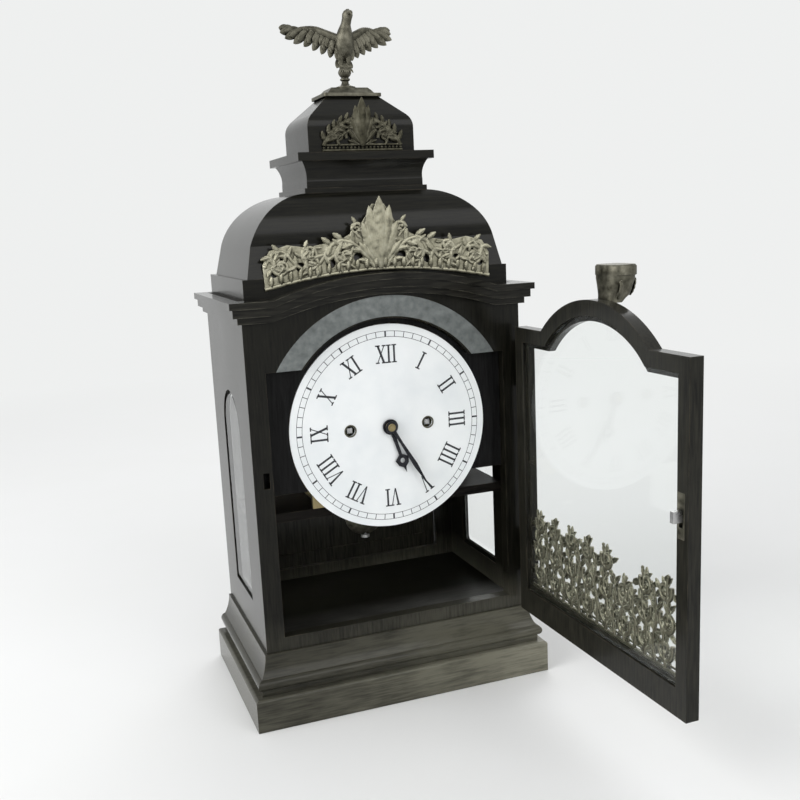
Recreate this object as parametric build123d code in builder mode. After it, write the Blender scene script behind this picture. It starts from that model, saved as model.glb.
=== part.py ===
from build123d import *
from math import atan2, cos, degrees, pi, radians, sin, sqrt
import os

os.makedirs("parts", exist_ok=True)

# Bracket clock with a domed top, an arched front door that stands open and a two-train movement.
# X runs to the right seen from the front, -Y is the front, +Z is up, and all sizes are millimetres.

# Base and body
body_width = 180.0
body_depth = 116.0
base_lip = 11.0
back_lip = 1.0
plinth_height = 21.0
plinth_wall = 14.0
plinth_round = 2.0
bottom_board_thickness = 9.0
moulding_height = 25.0
moulding_wall = 12.0
moulding_groove = 6.0
moulding_bead = 8.5
moulding_shoulder = 5.5
moulding_top_lip = 1.5
groove_height = 4.0
bead_height = 7.0
floor_thickness = 6.0
body_height = 219.0
panel_thickness = 7.0
frame_thickness = 8.0
top_board_thickness = 7.0

# Arched head and cornice
arch_half_width = 72.0
arch_rise = 12.0
cornice_heights = (4.0, 5.0, 4.0)
cornice_projections = (3.0, 6.0, 8.0)

# Dome, cupola and finial
dome_plinth_height = 12.0
dome_plinth_side_inset = 4.0
dome_plinth_back_inset = 2.0
dome_height = 52.0
dome_side_setback = 7.0
dome_depth_setback = 8.0
dome_batter = 4.0
dome_wall_height = 19.0
dome_neck_height = 3.0
dome_crown_across = 0.64
dome_crown_up = 0.68
cupola_half_width = 34.5
cupola_depth_inset = 7.0
cupola_wall_height = 20.0
cupola_height = 35.0
cupola_shoulder_radius = 11.0
cupola_moulding_neck = 3.5
cupola_moulding_lip = 9.5
cupola_neck_height = 4.0
cupola_cove_height = 12.0
cupola_cap_height = 5.0
finial_cap_height = 6.0
finial_cap_half_width = 17.0
finial_cap_lip = 2.0
eagle_stem_height = 14.0
eagle_stem_radius = 3.2
eagle_body_length = 27.0
eagle_body_radius = 6.5
eagle_head_radius = 4.2
eagle_head_rise = 18.5
eagle_head_across = 4.0
eagle_neck_radius = 3.2
eagle_wing_span = 42.0
eagle_wing_thickness = 3.2
eagle_wing_sweep = 22.0

# Brass mounts of the top
crest_half_width = 68.0
crest_end_height = 3.0
crest_wing_height = 21.0
crest_spire_height = 41.0
crest_thickness = 2.2
crest_piercing_radius = 2.6
mount_half_width = 26.0
mount_stem_half_width = 6.0
mount_band_height = 5.0
mount_height = 24.0
mount_thickness = 1.6

# Openings and windows
dial_diameter = 130.0
dial_drop = 85.0
opening_stile = 12.0
opening_rail = 9.0
opening_shoulder = 42.0
opening_margin = 4.0
slip_width = 13.0
slip_depth = 1.0
window_width = 50.0
window_sill = 24.0
window_height = 135.0
window_rebate = 3.0
glass_thickness = 2.0
glass_clearance = 0.3

# Front door
door_gap = 0.3
door_thickness = 8.0
door_side_margin = 2.0
door_foot_gap = 3.0
door_shoulder = 58.0
door_arch_radius = 80.0
door_stile = 12.0
door_bottom_rail = 19.0
door_open_angle = 91.0
rebate_depth = 3.5
knuckle_radius = 2.0
pin_radius = 1.0
running_clearance = 0.05
leaf_thickness = 1.2
hinge_length = 30.0
hinge_insets = (35.0, 26.0)
hinge_reach = 10.0
knuckle_gap = 0.3

# Door ornaments
fret_thickness = 1.5
fret_height = 60.0
fret_gap_height = 41.0
fret_gap_place = 30.0
fret_gap_reach = 20.0
fret_bar = 2.2
cresting_width = 24.0
cresting_height = 21.0
cresting_drop = 2.0
cresting_stem_share = 0.40
cresting_stem_depth = 9.0
cresting_lean = 7.0
cresting_depth = 18.0

# Front lock
lock_height_above_floor = 106.0
lock_case_width = 6.0
lock_case_height = 24.0
lock_case_depth = 5.0
bolt_width = 3.0
bolt_height = 6.0
bolt_reach = 5.0
bolt_travel = 3.0
bolt_clearance = 0.2

# Back door
back_opening_stile = 19.7
back_opening_rail = 14.0
back_opening_head = 25.0
back_door_thickness = 6.0
back_door_gap = 0.3
back_panel_thickness = 2.5
back_door_stile = 13.0
back_pin_length = 5.0
knob_radius = 5.0
knob_shank_radius = 1.5
knob_stand = 4.0
latch_length = 15.0
latch_width = 6.0
latch_thickness = 1.5

# Dial and hands
dial_thickness = 1.5
dial_front_setback = 5.0
mask_thickness = 2.5
mask_clearance = 0.3
mask_lower_edge = 35.0
batten_thickness = 4.0
batten_overlap = 4.0
winding_spacing = 26.0
winding_hole_radius = 3.2
dial_centre_hole_radius = 4.6
dial_foot_radius = 1.5
minute_angle = 150.0
hour_angle = 162.5
minute_hand_length = 50.0
hour_hand_length = 32.0
hand_thickness = 1.0
hand_gap = 1.2

# Movement
motion_work_depth = 10.5
plate_thickness = 2.5
plate_half_width = 50.0
plate_height = 107.0
plate_spacing = 40.0
pillar_radius = 3.0
pillar_inset = 5.0
movement_rise = 57.0
end_shake = 0.1
barrel_setback = 13.5
centre_wheel_setback = 2.5
wheel_spacing = 1.4
escape_setback = 7.0
lifting_pin_length = 5.0
motion_gap = 0.5
crutch_setback = 1.0
crutch_reach = 4.0
seat_thickness = 6.0
seat_rear_overhang = 3.0
arbor_radius = 1.5
pivot_radius = 0.8
wheel_thickness = 1.5
pinion_length = 3.6
tooth_share = 0.30
tip_share = 0.13
addendum_share = 0.45
dedendum_share = 1.0
hub_radius = 3.2
rim_width = 3.0
spoke_width = 2.2
great_wheel_teeth = 72
centre_pinion_leaves = 8
centre_wheel_teeth = 60
third_pinion_leaves = 8
third_wheel_teeth = 56
escape_pinion_leaves = 7
escape_teeth = 30
centre_to_third = 22.2
third_to_escape = 19.0
third_offset = 6.0
escape_wheel_radius = 9.0
pallet_distance = 12.5
pallet_clearance = 1.0
pin_wheel_teeth = 56
fly_pinion_leaves = 7
pin_wheel_angle = 100.0
pin_to_fly = 16.0
fly_angle = 70.0
fly_half_width = 8.0
fly_length = 18.0
drum_radius = 22.0
drum_length = 21.5
great_wheel_thickness = 2.5
winding_arbor_radius = 3.0
winding_square = 3.4
cannon_teeth = 12
minute_wheel_teeth = 36
minute_pinion_leaves = 10
hour_wheel_teeth = 40
motion_distance = 18.0
pipe_wall = 0.9
stud_radius = 1.2

# Pendulum, bell and hammer
pendulum_length = 127.0
rod_radius = 1.0
bob_radius = 14.0
bob_thickness = 8.0
rating_nut_radius = 3.0
rating_nut_height = 2.0
crutch_length = 27.0
crutch_clearance = 0.3
cock_half_width = 14.0
cock_height = 8.0
cock_clearance = 2.0
cock_thickness = 2.0
bell_radius = 26.0
bell_height = 13.0
bell_wall = 1.5
bell_drop = 3.0
bell_post_radius = 2.0
bell_bar_thickness = 2.0
bell_bar_half_width = 4.0
bell_nut_radius = 4.0
bell_nut_height = 1.8
hammer_offset = 44.0
hammer_drop = 21.0
hammer_head_radius = 3.2
hammer_gap = 0.6
hammer_arm_radius = 1.1

# Places worked out from the sizes above
half_width = body_width / 2
base_width = body_width + 2 * base_lip
base_depth = body_depth + base_lip + back_lip
body_front = base_lip - base_depth / 2
body_back = body_front + body_depth
body_middle = (body_front + body_back) / 2
body_bottom = plinth_height + moulding_height
body_top = body_bottom + body_height
panel_top = body_top - top_board_thickness
inner_half_width = half_width - panel_thickness
opening_half_width = half_width - opening_stile
back_opening_half_width = half_width - back_opening_stile
dome_half_width = half_width - dome_side_setback
dome_half_depth = body_depth / 2 - dome_depth_setback
inner_front = body_front + frame_thickness
inner_back = body_back - frame_thickness
dial_height = body_top - dial_drop
dial_radius = dial_diameter / 2
floor_top = body_bottom + floor_thickness
opening_bottom = body_bottom + opening_rail
opening_arch_radius = dial_radius + opening_margin


def upright(back, across=0.0, level=0.0):
    """Plane facing the front whose sketches grow forward from the depth `back`."""
    return Plane(origin=(across, back, level), x_dir=(1, 0, 0), z_dir=(0, -1, 0))


def sideways(place, middle=0.0):
    """Plane facing the right-hand side, with Y across from `middle` and Z up."""
    return Plane(origin=(place, middle, 0), x_dir=(0, 1, 0), z_dir=(1, 0, 0))


def arched_outline(half, bottom, shoulder, radius, mode=Mode.ADD):
    """Square-shouldered outline under an arch that is struck from the dial centre."""
    shoulder_level = dial_height + shoulder
    spring = sqrt(radius**2 - shoulder**2)
    with BuildLine() as outline:
        Polyline(
            (spring, shoulder_level),
            (half, shoulder_level),
            (half, bottom),
            (-half, bottom),
            (-half, shoulder_level),
            (-spring, shoulder_level),
        )
        ThreePointArc(
            (-spring, shoulder_level), (0, dial_height + radius), (spring, shoulder_level)
        )
    make_face(outline.line.edges(), mode=mode)


def segment_band(half, low, high):
    """Band between two levels that both rise in a flat arch over the middle."""
    with BuildLine() as outline:
        Polyline((arch_half_width, low), (half, low), (half, high), (arch_half_width, high))
        ThreePointArc(
            (arch_half_width, high), (0, high + arch_rise), (-arch_half_width, high)
        )
        Polyline(
            (-arch_half_width, high), (-half, high), (-half, low), (-arch_half_width, low)
        )
        ThreePointArc((-arch_half_width, low), (0, low + arch_rise), (arch_half_width, low))
    make_face(outline.line.edges())


def stepped_outline(half_points):
    """Closed outline that mirrors (half width, level) points about the local vertical axis."""
    mirrored = [(-half, level) for half, level in reversed(half_points)]
    with BuildLine() as outline:
        Polyline(*half_points, *mirrored, close=True)
    make_face(outline.line.edges())


# Plinth frame: four rails mitred round the foot of the clock
with BuildPart() as plinth_frame:
    with BuildSketch(Plane.XY):
        Rectangle(base_width, base_depth)
    extrude(amount=plinth_height)
    fillet(plinth_frame.edges().group_by(Axis.Z)[-1], radius=plinth_round)
    with BuildSketch(Plane.XY):
        Rectangle(base_width - 2 * plinth_wall, base_depth - 2 * plinth_wall)
    extrude(amount=plinth_height, mode=Mode.SUBTRACT)
plinth_frame.part.label = "plinth_frame"
export_step(plinth_frame.part, "parts/plinth_frame.step")

# Bottom board between the plinth rails, whose underside is the resting face
with BuildPart() as bottom_board:
    with BuildSketch(Plane.XY):
        Rectangle(base_width - 2 * plinth_wall, base_depth - 2 * plinth_wall)
    extrude(amount=bottom_board_thickness)
bottom_board.part.label = "bottom_board"
export_step(bottom_board.part, "parts/bottom_board.step")

# Base moulding: groove, bead and hollow, returned along both sides, with a plain back rail
groove_top = plinth_height + groove_height
bead_top = groove_top + bead_height
with BuildPart() as base_moulding:
    with BuildLine() as moulding_path:
        Polyline(
            (half_width, body_back, 0),
            (half_width, body_front, 0),
            (-half_width, body_front, 0),
            (-half_width, body_back, 0),
        )
    with BuildSketch(Plane(origin=(half_width, body_back, 0), x_dir=(1, 0, 0), z_dir=(0, -1, 0))):
        with BuildLine():
            Polyline(
                (moulding_shoulder, bead_top),
                (moulding_groove, bead_top),
                (moulding_groove, groove_top),
                (moulding_groove, plinth_height),
                (-moulding_wall, plinth_height),
                (-moulding_wall, body_bottom),
                (moulding_top_lip, body_bottom),
            )
            ThreePointArc(
                (moulding_top_lip, body_bottom),
                (moulding_top_lip + 1.0, (bead_top + body_bottom) / 2),
                (moulding_shoulder, bead_top),
            )
        make_face()
        with BuildLine():
            Polyline(
                (moulding_groove, bead_top), (0, bead_top), (0, groove_top),
                (moulding_groove, groove_top),
            )
            ThreePointArc(
                (moulding_groove, groove_top),
                (moulding_bead, (groove_top + bead_top) / 2),
                (moulding_groove, bead_top),
            )
        make_face()
    sweep(path=moulding_path.line, transition=Transition.RIGHT)
    with BuildSketch(Plane.XY.offset(plinth_height)):
        with Locations((0, body_back - moulding_wall / 2)):
            Rectangle(body_width - 2 * moulding_wall, moulding_wall)
    extrude(amount=moulding_height)
base_moulding.part.label = "base_moulding"
export_step(base_moulding.part, "parts/base_moulding.step")

# Floor board of the case
with BuildPart() as case_floor:
    with BuildSketch(Plane.XY.offset(body_bottom)):
        with Locations((0, (inner_front + inner_back) / 2)):
            Rectangle(2 * inner_half_width, inner_back - inner_front)
    extrude(amount=floor_thickness)
case_floor.part.label = "case_floor"
export_step(case_floor.part, "parts/case_floor.step")


def window_outline(grow, mode=Mode.ADD):
    """Round-headed side window, enlarged by `grow` all round."""
    half = window_width / 2
    sill = body_bottom + window_sill
    spring = sill + window_height - half
    with BuildLine() as outline:
        Polyline(
            (body_middle + half + grow, spring),
            (body_middle + half + grow, sill - grow),
            (body_middle - half - grow, sill - grow),
            (body_middle - half - grow, spring),
        )
        ThreePointArc(
            (body_middle - half - grow, spring),
            (body_middle, spring + half + grow),
            (body_middle + half + grow, spring),
        )
    make_face(outline.line.edges(), mode=mode)


# Side panels with round-headed windows, rebated for the glass on the inside
def side_panel(side):
    """Panel on the side -1 or 1, made in the active part."""
    inner = side * inner_half_width
    with BuildSketch(sideways(inner)) as panel:
        with Locations(((inner_front + inner_back) / 2, (body_bottom + panel_top) / 2)):
            Rectangle(inner_back - inner_front, panel_top - body_bottom)
        window_outline(0, Mode.SUBTRACT)
    extrude(panel.sketch, amount=side * panel_thickness)
    with BuildSketch(sideways(inner)) as rebate:
        window_outline(window_rebate)
    extrude(rebate.sketch, amount=side * glass_thickness, mode=Mode.SUBTRACT)


with BuildPart() as side_panel_left:
    side_panel(-1)
side_panel_left.part.label = "side_panel_left"
export_step(side_panel_left.part, "parts/side_panel_left.step")

with BuildPart() as side_panel_right:
    side_panel(1)
side_panel_right.part.label = "side_panel_right"
export_step(side_panel_right.part, "parts/side_panel_right.step")

# Window glass, one pane in each side
with BuildPart() as side_glasses:
    for side in (-1, 1):
        with BuildSketch(sideways(side * inner_half_width)):
            window_outline(window_rebate - glass_clearance)
        extrude(amount=side * glass_thickness)
side_glasses.part.label = "side_glasses"
export_step(side_glasses.part, "parts/side_glasses.step")

# Front frame with its arched opening, the recess for the silvered slip and the lock mortise
lock_level = floor_top + lock_height_above_floor
lock_place = -half_width + door_side_margin + door_stile / 2
slip_inner_radius = opening_arch_radius + 1.0
slip_outer_radius = slip_inner_radius + slip_width


def slip_outline():
    """Arched band round the upper half of the dial, down to the opening's shoulders."""
    with Locations((0, dial_height)):
        Circle(slip_outer_radius)
        Circle(slip_inner_radius, mode=Mode.SUBTRACT)
    with Locations((0, dial_height + opening_shoulder + slip_outer_radius)):
        Rectangle(2 * slip_outer_radius, 2 * slip_outer_radius, mode=Mode.INTERSECT)


with BuildPart() as front_frame:
    with BuildSketch(upright(inner_front)):
        with BuildLine():
            Polyline(
                (arch_half_width, body_top),
                (half_width, body_top),
                (half_width, body_bottom),
                (-half_width, body_bottom),
                (-half_width, body_top),
                (-arch_half_width, body_top),
            )
            ThreePointArc(
                (-arch_half_width, body_top), (0, body_top + arch_rise), (arch_half_width, body_top)
            )
        make_face()
        arched_outline(
            opening_half_width, opening_bottom, opening_shoulder, opening_arch_radius,
            Mode.SUBTRACT,
        )
        with Locations((lock_place, lock_level - bolt_travel / 2)):
            Rectangle(
                bolt_width + 4 * bolt_clearance,
                bolt_height + bolt_travel + 4 * bolt_clearance,
                mode=Mode.SUBTRACT,
            )
    extrude(amount=frame_thickness)
    with BuildSketch(upright(body_front + slip_depth)):
        slip_outline()
    extrude(amount=slip_depth, mode=Mode.SUBTRACT)
front_frame.part.label = "front_frame"
export_step(front_frame.part, "parts/front_frame.step")

# Silvered slip let into the front frame above the dial
with BuildPart() as arch_slip:
    with BuildSketch(upright(body_front + slip_depth)):
        slip_outline()
    extrude(amount=slip_depth)
arch_slip.part.label = "arch_slip"
export_step(arch_slip.part, "parts/arch_slip.step")

# Back frame with a square opening and pivot holes for the back door
back_opening_bottom = body_bottom + back_opening_rail
back_opening_top = body_top - back_opening_head
back_hinge_x = back_opening_half_width - back_door_gap - back_door_thickness / 2
back_hinge_y = body_back - back_door_thickness / 2
with BuildPart() as back_frame:
    with BuildSketch(upright(body_back)):
        with Locations((0, (body_bottom + body_top) / 2)):
            Rectangle(body_width, body_height)
        with Locations((0, (back_opening_bottom + back_opening_top) / 2)):
            Rectangle(
                2 * back_opening_half_width, back_opening_top - back_opening_bottom,
                mode=Mode.SUBTRACT,
            )
    extrude(amount=frame_thickness)
    for level, grow in ((back_opening_bottom, -1), (back_opening_top, 1)):
        with BuildSketch(Plane.XY.offset(level)):
            with Locations((back_hinge_x, back_hinge_y)):
                Circle(pin_radius + running_clearance)
        extrude(amount=grow * back_pin_length, mode=Mode.SUBTRACT)
back_frame.part.label = "back_frame"
export_step(back_frame.part, "parts/back_frame.step")

# Cornice: three stepped members that rise in a flat arch over the front
cornice_bottom = body_top - sum(cornice_heights)
with BuildPart() as front_cornice:
    level = cornice_bottom
    for height, projection in zip(cornice_heights, cornice_projections):
        with BuildSketch(upright(body_front)):
            segment_band(half_width + projection, level, level + height)
        extrude(amount=projection)
        level += height
front_cornice.part.label = "front_cornice"
export_step(front_cornice.part, "parts/front_cornice.step")

# Cornice returns along both sides
with BuildPart() as side_cornices:
    level = cornice_bottom
    for height, projection in zip(cornice_heights, cornice_projections):
        for side in (-1, 1):
            with BuildSketch(Plane.XY.offset(level)):
                with Locations((side * (half_width + projection / 2), body_middle)):
                    Rectangle(projection, body_depth)
            extrude(amount=height)
        level += height
side_cornices.part.label = "side_cornices"
export_step(side_cornices.part, "parts/side_cornices.step")

# Top board of the case, between the frames and on the side panels
with BuildPart() as top_board:
    with BuildSketch(Plane.XY.offset(panel_top)):
        with Locations((0, (inner_front + inner_back) / 2)):
            Rectangle(body_width, inner_back - inner_front)
    extrude(amount=top_board_thickness)
top_board.part.label = "top_board"
export_step(top_board.part, "parts/top_board.step")

# Plinth under the dome, behind the arched head of the front frame
dome_bottom = body_top + dome_plinth_height
dome_plinth_back = body_back - dome_plinth_back_inset
with BuildPart() as dome_plinth:
    with BuildSketch(Plane.XY.offset(body_top)):
        with Locations((0, (inner_front + dome_plinth_back) / 2)):
            Rectangle(
                body_width - 2 * dome_plinth_side_inset, dome_plinth_back - inner_front
            )
    extrude(amount=dome_plinth_height)
dome_plinth.part.label = "dome_plinth"
export_step(dome_plinth.part, "parts/dome_plinth.step")

# Lower dome: battered walls under a rounded slope up to the cupola
dome_top = dome_bottom + dome_height
neck_half_width = cupola_half_width + cupola_moulding_neck
dome_neck = neck_half_width + 2.0


def dome_outline(foot, neck):
    """Front or side outline of the lower dome, from the foot's half width to the neck's."""
    wall = foot - dome_batter
    wall_top = dome_bottom + dome_wall_height
    slope_top = dome_top - dome_neck_height
    crown_across = neck + dome_crown_across * (wall - neck)
    crown_level = wall_top + dome_crown_up * (slope_top - wall_top)
    with BuildLine() as outline:
        Polyline((-wall, wall_top), (-foot, dome_bottom), (foot, dome_bottom), (wall, wall_top))
        ThreePointArc((wall, wall_top), (crown_across, crown_level), (neck, slope_top))
        Polyline((neck, slope_top), (neck, dome_top), (-neck, dome_top), (-neck, slope_top))
        ThreePointArc((-neck, slope_top), (-crown_across, crown_level), (-wall, wall_top))
    make_face(outline.line.edges())


with BuildPart() as lower_dome:
    with BuildSketch(upright(body_middle + dome_half_depth)):
        dome_outline(dome_half_width, dome_neck)
    extrude(amount=2 * dome_half_depth)
    with BuildSketch(sideways(-dome_half_width, body_middle)):
        dome_outline(dome_half_depth, dome_neck - cupola_depth_inset)
    extrude(amount=2 * dome_half_width, mode=Mode.INTERSECT)
lower_dome.part.label = "lower_dome"
export_step(lower_dome.part, "parts/lower_dome.step")

# Moulding round the foot of the cupola: neck, hollow and cap
moulding_lip_half_width = cupola_half_width + cupola_moulding_lip
cupola_bottom = dome_top + cupola_neck_height + cupola_cove_height + cupola_cap_height


def cupola_moulding_outline(inset):
    """Outline of the cupola's moulding, with its half widths reduced by `inset`."""
    neck = neck_half_width - inset
    lip = moulding_lip_half_width - inset
    cove_bottom = dome_top + cupola_neck_height
    cove_top = cove_bottom + cupola_cove_height
    cove_reach = lip - 3.0
    middle = ((neck + cove_reach) / 2 - 1.2, (cove_bottom + cove_top) / 2)
    with BuildLine() as outline:
        Polyline((-neck, cove_bottom), (-neck, dome_top), (neck, dome_top), (neck, cove_bottom))
        ThreePointArc((neck, cove_bottom), middle, (cove_reach, cove_top))
        Polyline(
            (cove_reach, cove_top), (lip, cove_top), (lip, cupola_bottom),
            (-lip, cupola_bottom), (-lip, cove_top), (-cove_reach, cove_top),
        )
        ThreePointArc((-cove_reach, cove_top), (-middle[0], middle[1]), (-neck, cove_bottom))
    make_face(outline.line.edges())


with BuildPart() as cupola_moulding:
    with BuildSketch(upright(body_middle + moulding_lip_half_width)):
        cupola_moulding_outline(0)
    extrude(amount=2 * moulding_lip_half_width)
    with BuildSketch(sideways(-moulding_lip_half_width, body_middle)):
        cupola_moulding_outline(cupola_depth_inset)
    extrude(amount=2 * moulding_lip_half_width, mode=Mode.INTERSECT)
cupola_moulding.part.label = "cupola_moulding"
export_step(cupola_moulding.part, "parts/cupola_moulding.step")

# Cupola: upright walls that round over to a small flat top
cupola_top = cupola_bottom + cupola_height


def cupola_outline(half, top_half):
    """Outline of the cupola with the given half widths at its foot and top."""
    wall_top = cupola_bottom + cupola_wall_height
    stepped_outline([(half, cupola_bottom), (half, wall_top), (top_half, cupola_top)])


with BuildPart() as cupola:
    with BuildSketch(upright(body_middle + cupola_half_width)) as cupola_front:
        cupola_outline(cupola_half_width, finial_cap_half_width)
        fillet(cupola_front.vertices().group_by(Axis.Y)[1], radius=cupola_shoulder_radius)
    extrude(amount=2 * cupola_half_width)
    with BuildSketch(sideways(-cupola_half_width, body_middle)) as cupola_side:
        cupola_outline(
            cupola_half_width - cupola_depth_inset, finial_cap_half_width - cupola_depth_inset / 2
        )
        fillet(cupola_side.vertices().group_by(Axis.Y)[1], radius=cupola_shoulder_radius)
    extrude(amount=2 * cupola_half_width, mode=Mode.INTERSECT)
cupola.part.label = "cupola"
export_step(cupola.part, "parts/cupola.step")

# Brass cap on the cupola under the eagle
cap_plane = Plane.XY.offset(cupola_top)
with BuildPart() as finial_cap:
    with BuildSketch(cap_plane):
        with Locations((0, body_middle)):
            RectangleRounded(
                2 * (finial_cap_half_width + finial_cap_lip),
                2 * (finial_cap_half_width + finial_cap_lip) - cupola_depth_inset,
                finial_cap_lip,
            )
    extrude(amount=finial_cap_height / 3)
    with BuildSketch(cap_plane.offset(finial_cap_height / 3)):
        with Locations((0, body_middle)):
            RectangleRounded(
                2 * finial_cap_half_width - finial_cap_lip,
                2 * finial_cap_half_width - finial_cap_lip - cupola_depth_inset,
                finial_cap_lip,
            )
    extrude(amount=2 * finial_cap_height / 3, taper=45)
finial_cap.part.label = "finial_cap"
export_step(finial_cap.part, "parts/finial_cap.step")

# Eagle with spread wings on a turned stem
eagle_foot = cupola_top + finial_cap_height
eagle_body_middle = eagle_foot + eagle_stem_height + eagle_body_length * 0.42
wing_root = eagle_body_middle + eagle_body_length * 0.22
eagle_breast = Vector(0, body_middle, eagle_body_middle)
eagle_head = eagle_breast + Vector(eagle_head_across, -eagle_head_across, eagle_head_rise)


def eagle_wing(side):
    """One swept-back wing, made in the active part."""
    wing_plane = upright(body_middle, 0, wing_root).rotated((0, 0, side * eagle_wing_sweep))
    with BuildSketch(wing_plane.offset(-eagle_wing_thickness / 2)) as wing:
        with BuildLine() as outline:
            Spline(
                (0, eagle_body_radius * 0.8),
                (side * eagle_wing_span * 0.45, eagle_body_radius * 1.2),
                (side * eagle_wing_span, -eagle_body_radius * 0.2),
            )
            Spline(
                (side * eagle_wing_span, -eagle_body_radius * 0.2),
                (side * eagle_wing_span * 0.55, -eagle_body_radius * 0.7),
                (0, -eagle_body_radius * 1.6),
            )
            Line((0, -eagle_body_radius * 1.6), (0, eagle_body_radius * 0.8))
        make_face(outline.line.edges())
    extrude(wing.sketch, amount=eagle_wing_thickness)


with BuildPart() as eagle_finial:
    with BuildSketch(upright(body_middle, 0, eagle_foot)):
        with BuildLine():
            Line((0, 0), (eagle_stem_radius * 2, 0))
            Spline(
                (eagle_stem_radius * 2, 0),
                (eagle_stem_radius * 0.6, eagle_stem_height * 0.3),
                (eagle_stem_radius, eagle_stem_height * 0.7),
                (eagle_stem_radius * 0.7, eagle_stem_height + 4.0),
            )
            Line(
                (eagle_stem_radius * 0.7, eagle_stem_height + 4.0), (0, eagle_stem_height + 4.0)
            )
            Line((0, eagle_stem_height + 4.0), (0, 0))
        make_face()
    revolve(axis=Axis((0, body_middle, 0), (0, 0, 1)))
    with BuildSketch(upright(body_middle, 0, eagle_body_middle)):
        Ellipse(eagle_body_radius, eagle_body_length / 2)
        with Locations((-eagle_body_radius, 0)):
            Rectangle(2 * eagle_body_radius, eagle_body_length, mode=Mode.SUBTRACT)
    revolve(axis=Axis((0, body_middle, 0), (0, 0, 1)))
    with BuildSketch(Plane(origin=eagle_breast, x_dir=(0, 1, 0), z_dir=eagle_head - eagle_breast)):
        Circle(eagle_neck_radius)
    extrude(amount=(eagle_head - eagle_breast).length)
    with Locations(eagle_head):
        Sphere(eagle_head_radius)
    for side in (-1, 1):
        eagle_wing(side)
eagle_finial.part.label = "eagle_finial"
export_step(eagle_finial.part, "parts/eagle_finial.step")

# Pierced brass crest standing on the arched head against the dome's front
crest_back = body_middle - dome_half_depth
head_radius = (arch_half_width**2 + arch_rise**2) / (2 * arch_rise)
crest_foot = body_top + arch_rise - head_radius + sqrt(head_radius**2 - crest_half_width**2)
with BuildPart() as dome_crest:
    with BuildSketch(upright(crest_back)):
        with BuildLine():
            ThreePointArc(
                (-crest_half_width, crest_foot), (0, dome_bottom), (crest_half_width, crest_foot)
            )
            Line((crest_half_width, crest_foot), (crest_half_width, crest_foot + crest_end_height))
            Line(
                (-crest_half_width, crest_foot), (-crest_half_width, crest_foot + crest_end_height)
            )
            for side in (-1, 1):
                Spline(
                    (side * crest_half_width, crest_foot + crest_end_height),
                    (side * crest_half_width * 0.70, dome_bottom + crest_wing_height * 0.45),
                    (side * crest_half_width * 0.42, dome_bottom + crest_wing_height),
                    (side * crest_half_width * 0.14, dome_bottom + crest_wing_height * 1.15),
                    (0, dome_bottom + crest_spire_height),
                )
        make_face()
        for side in (-1, 1):
            for share, level in ((0.20, 0.55), (0.38, 0.50), (0.56, 0.30), (0.74, 0.05)):
                with Locations(
                    (side * crest_half_width * share, dome_bottom + crest_wing_height * level)
                ):
                    Circle(crest_piercing_radius, mode=Mode.SUBTRACT)
    extrude(amount=crest_thickness)
dome_crest.part.label = "dome_crest"
export_step(dome_crest.part, "parts/dome_crest.step")

# Brass mount on the front of the cupola: base band, middle stem and two raking leaves
cupola_front_face = body_middle - cupola_half_width + cupola_depth_inset
with BuildPart() as cupola_mount:
    with BuildSketch(upright(cupola_front_face)):
        with Locations((0, cupola_bottom + mount_band_height / 2)):
            Rectangle(2 * mount_half_width, mount_band_height)
        with BuildLine():
            Polyline(
                (-mount_stem_half_width, cupola_bottom + mount_band_height),
                (mount_stem_half_width, cupola_bottom + mount_band_height),
                (mount_stem_half_width * 0.6, cupola_bottom + mount_height * 0.8),
                (0, cupola_bottom + mount_height),
                (-mount_stem_half_width * 0.6, cupola_bottom + mount_height * 0.8),
                close=True,
            )
        make_face()
        for side in (-1, 1):
            with BuildLine():
                Polyline(
                    (side * mount_half_width, cupola_bottom + mount_band_height),
                    (side * mount_half_width, cupola_bottom + mount_band_height * 1.8),
                    (side * mount_stem_half_width * 0.2, cupola_bottom + mount_height * 0.9),
                    (side * mount_stem_half_width * 0.2, cupola_bottom + mount_height * 0.6),
                    (side * mount_half_width * 0.7, cupola_bottom + mount_band_height),
                    close=True,
                )
            make_face()
    extrude(amount=mount_thickness)
cupola_mount.part.label = "cupola_mount"
export_step(cupola_mount.part, "parts/cupola_mount.step")

# The front door is modelled where it stands open: these planes carry its closed shape
hinge_x = half_width
door_front = body_front - door_gap - door_thickness
door_turn = radians(door_open_angle)
door_along = Vector(cos(door_turn), sin(door_turn), 0)
door_inward = Vector(-sin(door_turn), cos(door_turn), 0)
hinge_foot = Vector(hinge_x, door_front, 0)


def door_plane(depth):
    """Plane parallel to the door's front face, `depth` behind it, in closed X and Z."""
    origin = hinge_foot - door_along * hinge_x + door_inward * depth
    return Plane(origin=origin, x_dir=door_along, z_dir=-door_inward)


def door_level(level):
    """Horizontal plane about the hinge, with X along the open door and Y into it."""
    return Plane(
        origin=(hinge_x, door_front, level), x_dir=door_along, z_dir=(0, 0, 1)
    )


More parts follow.
